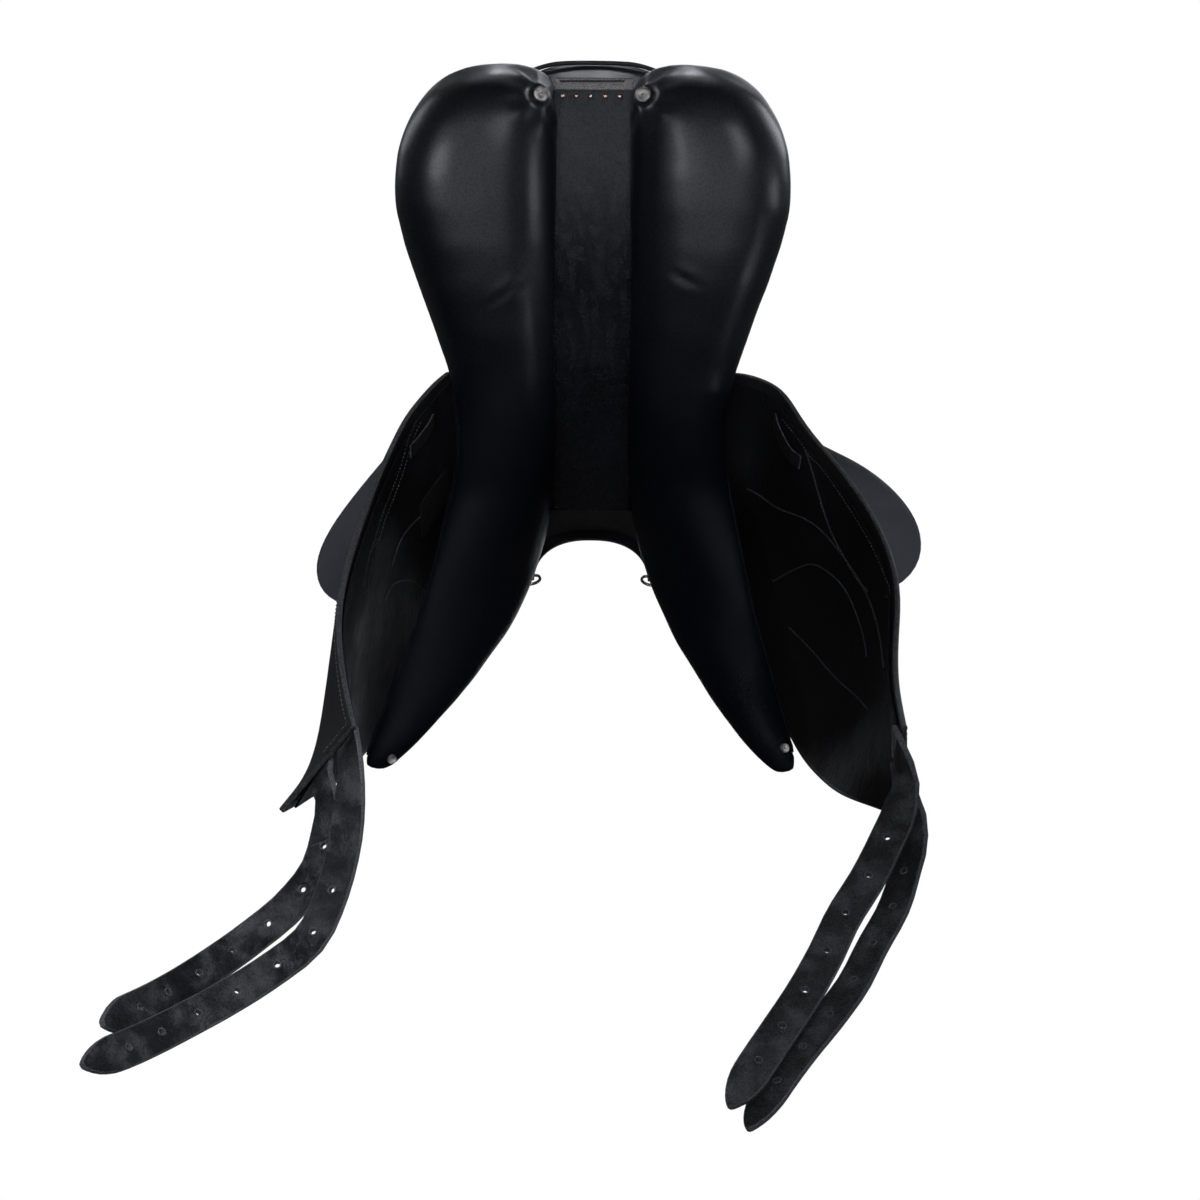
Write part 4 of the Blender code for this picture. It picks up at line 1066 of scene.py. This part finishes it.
def point_tip(shape):
    """Draws the strap's free end in to a rounded point, in line with the strap's own middle."""
    low = min(shape.verts, key=lambda v: v.co.z).co.copy()

    def near(reach):
        return [v for v in shape.verts if (v.co - low).length < reach]

    spots = [v.co.copy() for v in near(0.038)]
    middle = sum(spots, Vector()) / len(spots)
    ways = np.linalg.svd(np.array(spots) - np.array(middle))[2]
    along = Vector(ways[0])
    if along.dot(low - middle) < 0:
        along.negate()
    across = Vector(ways[1])
    end = max(spot.dot(along) for spot in spots)
    for cut in TIP_CUTS:
        around = near(0.06)
        links = {e for v in around for e in v.link_edges}
        sides = {f for v in around for f in v.link_faces}
        bmesh.ops.bisect_plane(
            shape, geom=[*around, *links, *sides], plane_co=along * (end - cut), plane_no=along, dist=1e-6
        )
    tip = near(0.06)
    rows = []
    for cut in TIP_CUTS:
        row = [v.co.dot(across) for v in tip if abs(end - v.co.dot(along) - cut) < ON_A_CUT]
        if row:
            rows.append((cut, (max(row) + min(row)) / 2, (max(row) - min(row)) / 2))
    places, centres, halves = zip(*rows)
    lean = (centres[-2] - centres[-1]) / (places[-1] - places[-2])
    for vertex in tip:
        back = end - vertex.co.dot(along)
        if back >= TIP_LENGTH:
            continue
        share = max(0.0, back / TIP_LENGTH)
        width = halves[-1] * (TIP_BLUNT + (1 - TIP_BLUNT) * (1 - (1 - share) ** 2) ** 0.75)
        centre = np.interp(back, places, centres)
        off = (vertex.co.dot(across) - centre) / max(np.interp(back, places, halves), 0.002)
        off = min(1.0, max(-1.0, off))
        line = centres[-1] + lean * (TIP_LENGTH - back)
        vertex.co += across * (line + off * width - vertex.co.dot(across))


# %% [markdown]
# Each hole has a low pale rim. The holes are read off the strap itself, and Geometry Nodes
# lay a ring at each mouth.

# %% Holes of a strap
HOLE_WIDEST = 0.012


def hole_mouths(shape):
    """The middle and outward way of every hole's two mouths."""
    walls = {face for face in shape.faces if face.material_index == 1}
    nearest = nearest_of([face for face in shape.faces if face.material_index == 0])
    mouths = []
    while walls:
        part = patch_from(next(iter(walls)), lambda link, face: face in walls)
        walls -= part
        points = np.array([v.co for v in {v for face in part for v in face.verts}])
        if np.ptp(points, axis=0).max() > HOLE_WIDEST:
            continue
        middle = Vector(points.mean(axis=0))
        way = nearest(middle).normal.copy()
        depth = float(np.ptp(points @ np.array(way))) / 2
        mouths += [(middle + way * depth, way), (middle - way * depth, -way)]
    return mouths


# %% Girth straps
RIM_SIZES = {"Ring radius": 0.0026, "Wire radius": 0.0006, "Finish": STRAP_EDGE}
for node in [f"billet_{place}_{word}" for word in SIDES for place in ("front", "rear")]:
    shape = merged(node)
    mark_edges(shape, 0.006)
    mouths = hole_mouths(shape)
    point_tip(shape)
    strap = piece(f"{node}_hide", shape, STRAP_HIDE_WEAR_AND_SHEEN, STRAP_EDGE)
    rounded(strap, 0.0005, angle=28)
    dressed(finished(strap, 50), node)
    spots, ways = zip(*mouths)
    laid_out(f"{node}_hole_rings", spots, [], ways, node, HOLE_RIMS, RIM_SIZES)
    print(strap.name, len(strap.data.polygons), "faces,", len(mouths) // 2, "holes")

# %% [markdown]
# ## Metal
# Dees, stirrup bars, catches, pins, rivets and the head plate are copies of their solids with
# finer corners. Nails, studs and buttons are turned anew from a profile, at the size of their
# solids, and tilted towards the camera where the photograph shows their faces.

# %% Metal pieces
METAL = {
    # start of the node: finish, width of the bevel, levels of subdivision
    "front_dee_": (NICKEL, 0, 2),
    "stirrup_bar_": (STEEL, 0.0004, 0),
    "bar_catch_": (STEEL, 0.0004, 0),
    "catch_pin_": (STEEL, 0.0002, 0),
    "bar_rivet_": (STEEL, 0.0002, 1),
    "head_plate": (STEEL, 0.0004, 0),
}
HEADS = {
    # start of the node: profile, finish, how far it is turned towards the camera
    "rear_button_": ("dished", NICKEL, BUTTON_TURNED),
    "front_stud_": ("dished", NICKEL, STUD_TURNED),
    "pommel_nail_": ("dished", NICKEL, 0.3),
    "gullet_nail_": ("domed", COPPER, 0.0),
}


def forged(node, look, corner, levels):
    made = piece(f"{node}_metal", merged(node), look)
    if corner:
        rounded(made, corner)
    if levels:
        subdivided(made, levels)
    return finished(made, 180 if levels else 40)


count = 0
for node in sorted(nodes):
    for maker, table in ((forged, METAL), (turned_head, HEADS)):
        for start, choices in table.items():
            if node.startswith(start):
                dressed(maker(node, *choices), node)
                count += 1
# The tree gets the laminate that is darkened as painted shade.
nodes["tree"].data.materials.clear()
nodes["tree"].data.materials.append(TREE_LAMINATE_PAINTED_SHADE)
print("metal pieces:", count)

# %% [markdown]
# ## Seams
# A row of thread follows the border of each flap's outer face and of each skirt's upper face.
# On the linings, closer rows run along the rear edge, and beads show where the outer blocks
# are sewn on. They are picked off the photograph and laid on the lining.

# %% Seams round the flaps and skirts
EDGE_INSET = 0.005
SEAM_LIFT = 0.0002
for node, lines in borders.items():
    surface = surface_of(sheets[node])
    for count, line in enumerate(lines):
        spots, facings = settled(surface, inset_line(line, EDGE_INSET), SEAM_LIFT)
        threads(f"{node}_seam_{count}", spots, facings, body_of[node])
    print(node, "rows of thread:", len(lines))

# %% Piping over the nails
PIPING_ROW = [(x, 81.5) for x in range(560, 629, 8)]


def raised(spots, facings, height):
    return [spot + facing * height for spot, facing in zip(spots, facings)]


spots, facings = drawn_on(sheets["cantle_facing"], PIPING_ROW, 0.003)
bead("cantle_piping", spots, 0.0012, SEAT_HIDE)
top = raised(spots, facings, 0.0011)
threads("cantle_piping_threads", top, facings, pitch=0.0032, length=0.0021, radius=0.0004)

# %% Rows along each flap's rear edge
ROW_MARKS = {
    "flap_lining_right_row_1": (
        (783, 420), (799, 440), (812, 458.5), (827, 475), (846, 493), (863, 515), (876, 539), (883, 561),
        (886, 579), (886.5, 597),
    ),
    "flap_lining_left_row_0": (
        (416, 421), (408, 440), (401, 464), (391, 492), (382, 514.4), (375, 536.7), (368.3, 559),
        (364.5, 578), (363.4, 592),
    ),
    "flap_lining_left_row_1": (
        (420, 423), (412, 442), (405, 466), (395, 494), (386, 516.4), (379, 538.7), (372.3, 561),
        (368.5, 580), (367.4, 593),
    ),
}
for name, marks in ROW_MARKS.items():
    spots, facings = drawn_on(sheets[name[: name.index("_row")]], marks, 0.004, 0.0003)
    threads(name, spots, facings, pitch=0.0036, length=0.0026, radius=0.0005)

# %% Beads on the linings
LINING_MARKS = {
    "flap_lining_right": {
        "curve": ((748, 489), (776, 507), (809, 521), (832, 542), (861, 583), (878, 627), (884, 667)),
        "arch": ((774, 581), (796, 569), (816, 565), (842, 585), (858, 618), (867, 656)),
        "slant": ((790, 628), (809, 647), (838, 680), (868, 709)),
        "rear": ((806, 451), (829, 526), (855, 575), (868, 591)),
    },
    "flap_lining_left": {
        "curve": ((446, 496), (424, 513), (401, 539), (392, 564)),
        "arch": ((436, 606), (424, 592), (411, 581), (394, 583), (384, 598)),
    },
}
for node, lines in LINING_MARKS.items():
    for word, marks in lines.items():
        spots, facings = drawn_on(sheets[node], marks, 0.004)
        bead(f"{node}_{word}_bead", spots, 0.0009, SEAM_BEAD)
        top = raised(spots, facings, 0.0007)
        threads(f"{node}_{word}_threads", top, facings, pitch=0.0036, length=0.0024, radius=0.0004)
print("lining beads done")

# %% [markdown]
# ## Studio
# A plain pale floor lies far below, since the saddle hangs and the camera looks up at it.
# Floor and world are pale to the camera and nearly dark to every other ray, so that they throw
# no light up at the leather. Six small lamps, each with a honeycomb grid, put one highlight
# where the photograph has it. Five broad boxes below, beside and above light the rest.


# %% Floor and world
def floor_finish():
    """Pale to the camera, and dark to every other ray, so that it throws no light up at the saddle."""
    look, inputs, wire = new_finish("studio_floor", (0.4, 0.4, 0.4), 0.9, specular=0.0)
    path = wire.add("LightPath")
    pale = wire.ranged(wire.noise(wire.places(), 3.0, 2.0), 0.0, 1.0, 0.97, 1.0)
    seen = wire.math("MULTIPLY", path.outputs["Is Camera Ray"], pale)
    wire.join(wire.mixed(seen, (0.02, 0.02, 0.02), (0.4, 0.4, 0.4)), inputs["Base Color"])
    wire.join(wire.mixed(seen, (0, 0, 0), (0.74, 0.74, 0.74)), inputs["Emission Color"])
    inputs["Emission Strength"].default_value = 1.0
    return look


FLOOR_Z = -3.0
FLOOR_HALF = 9.0
shape = bmesh.new()
bmesh.ops.create_grid(shape, x_segments=2, y_segments=2, size=FLOOR_HALF)
bmesh.ops.translate(shape, verts=shape.verts, vec=(0, 0, FLOOR_Z))
floor = piece("studio_floor", shape, floor_finish())
floor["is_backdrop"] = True

AMBIENT = 0.05
GLOSSY_WORLD = 0.03
world = bpy.data.worlds.new("studio")
scene.world = world
world.use_nodes = True
wire = Wiring(world.node_tree)
background = world.node_tree.nodes["Background"]
path = wire.add("LightPath")
seen = wire.math("MAXIMUM", path.outputs["Is Camera Ray"], path.outputs["Is Transmission Ray"])
seen = wire.math("MAXIMUM", seen, wire.math("MULTIPLY", path.outputs["Is Glossy Ray"], GLOSSY_WORLD))
wire.join(wire.ranged(seen, 0.0, 1.0, AMBIENT, 1.0), background.inputs["Strength"])
background.inputs["Color"].default_value = (1, 1, 1, 1)
print("floor at", FLOOR_Z, "m, ambient", AMBIENT)

# %% Lamps
LAMP_COLOUR = (0.88, 0.91, 1.0)
MIDDLE = (0, 0, -0.1)
OPEN = 180
LAMPS = {
    # place, width and height, watts, what it faces, spread in degrees
    "bulb_light_left": ((-1.15, -1.4, -1.7), (0.35, 0.45), 0.22, (-0.122, -0.181, 0.0), 24),
    "bulb_light_right": ((0.87, -1.76, -1.48), (0.35, 0.35), 0.15, (0.114, -0.2, 0.013), 24),
    "flank_light_right": ((2.3, -0.44, -0.76), (0.3, 0.5), 0.09, (0.143, -0.162, 0.003), 20),
    "skirt_light": ((1.7, 0.5, -1.5), (0.3, 0.3), 0.16, (0.26, 0.19, 0.02), 16),
    "strap_light": ((-0.2, -1.6, -1.4), (0.5, 0.5), 1.15, (-0.22, 0.0, -0.56), 30),
    "cantle_light": ((0.0, -1.1, 2.25), (0.4, 0.3), 0.05, (0.0, -0.2, 0.14), 10),
    "fill_below": ((0.0, -0.95, -2.4), (2.4, 1.8), 14, MIDDLE, OPEN),
    "side_left": ((-2.0, -0.6, 1.4), (1.2, 1.2), 10, MIDDLE, OPEN),
    "side_right": ((2.0, -0.6, 1.4), (1.2, 1.2), 20, MIDDLE, OPEN),
    "box_above": ((0.2, 0.6, 2.6), (1.8, 1.4), 16, MIDDLE, OPEN),
    "box_front": ((0.3, 1.8, 2.2), (1.6, 1.4), 18, MIDDLE, OPEN),
}
for name, (at, size, power, target, spread) in LAMPS.items():
    data = bpy.data.lights.new(name, "AREA")
    data.shape = "RECTANGLE"
    data.size, data.size_y = size
    data.energy = power
    data.color = LAMP_COLOUR
    data.spread = math.radians(spread)
    lamp = linked(name, data)
    lamp.location = at
    lamp.rotation_euler = (Vector(target) - Vector(at)).to_track_quat("-Z", "Y").to_euler()
scene.view_settings.view_transform = "Standard"
print("lamps:", len(bpy.data.lights))

# %% Size
low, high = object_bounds()
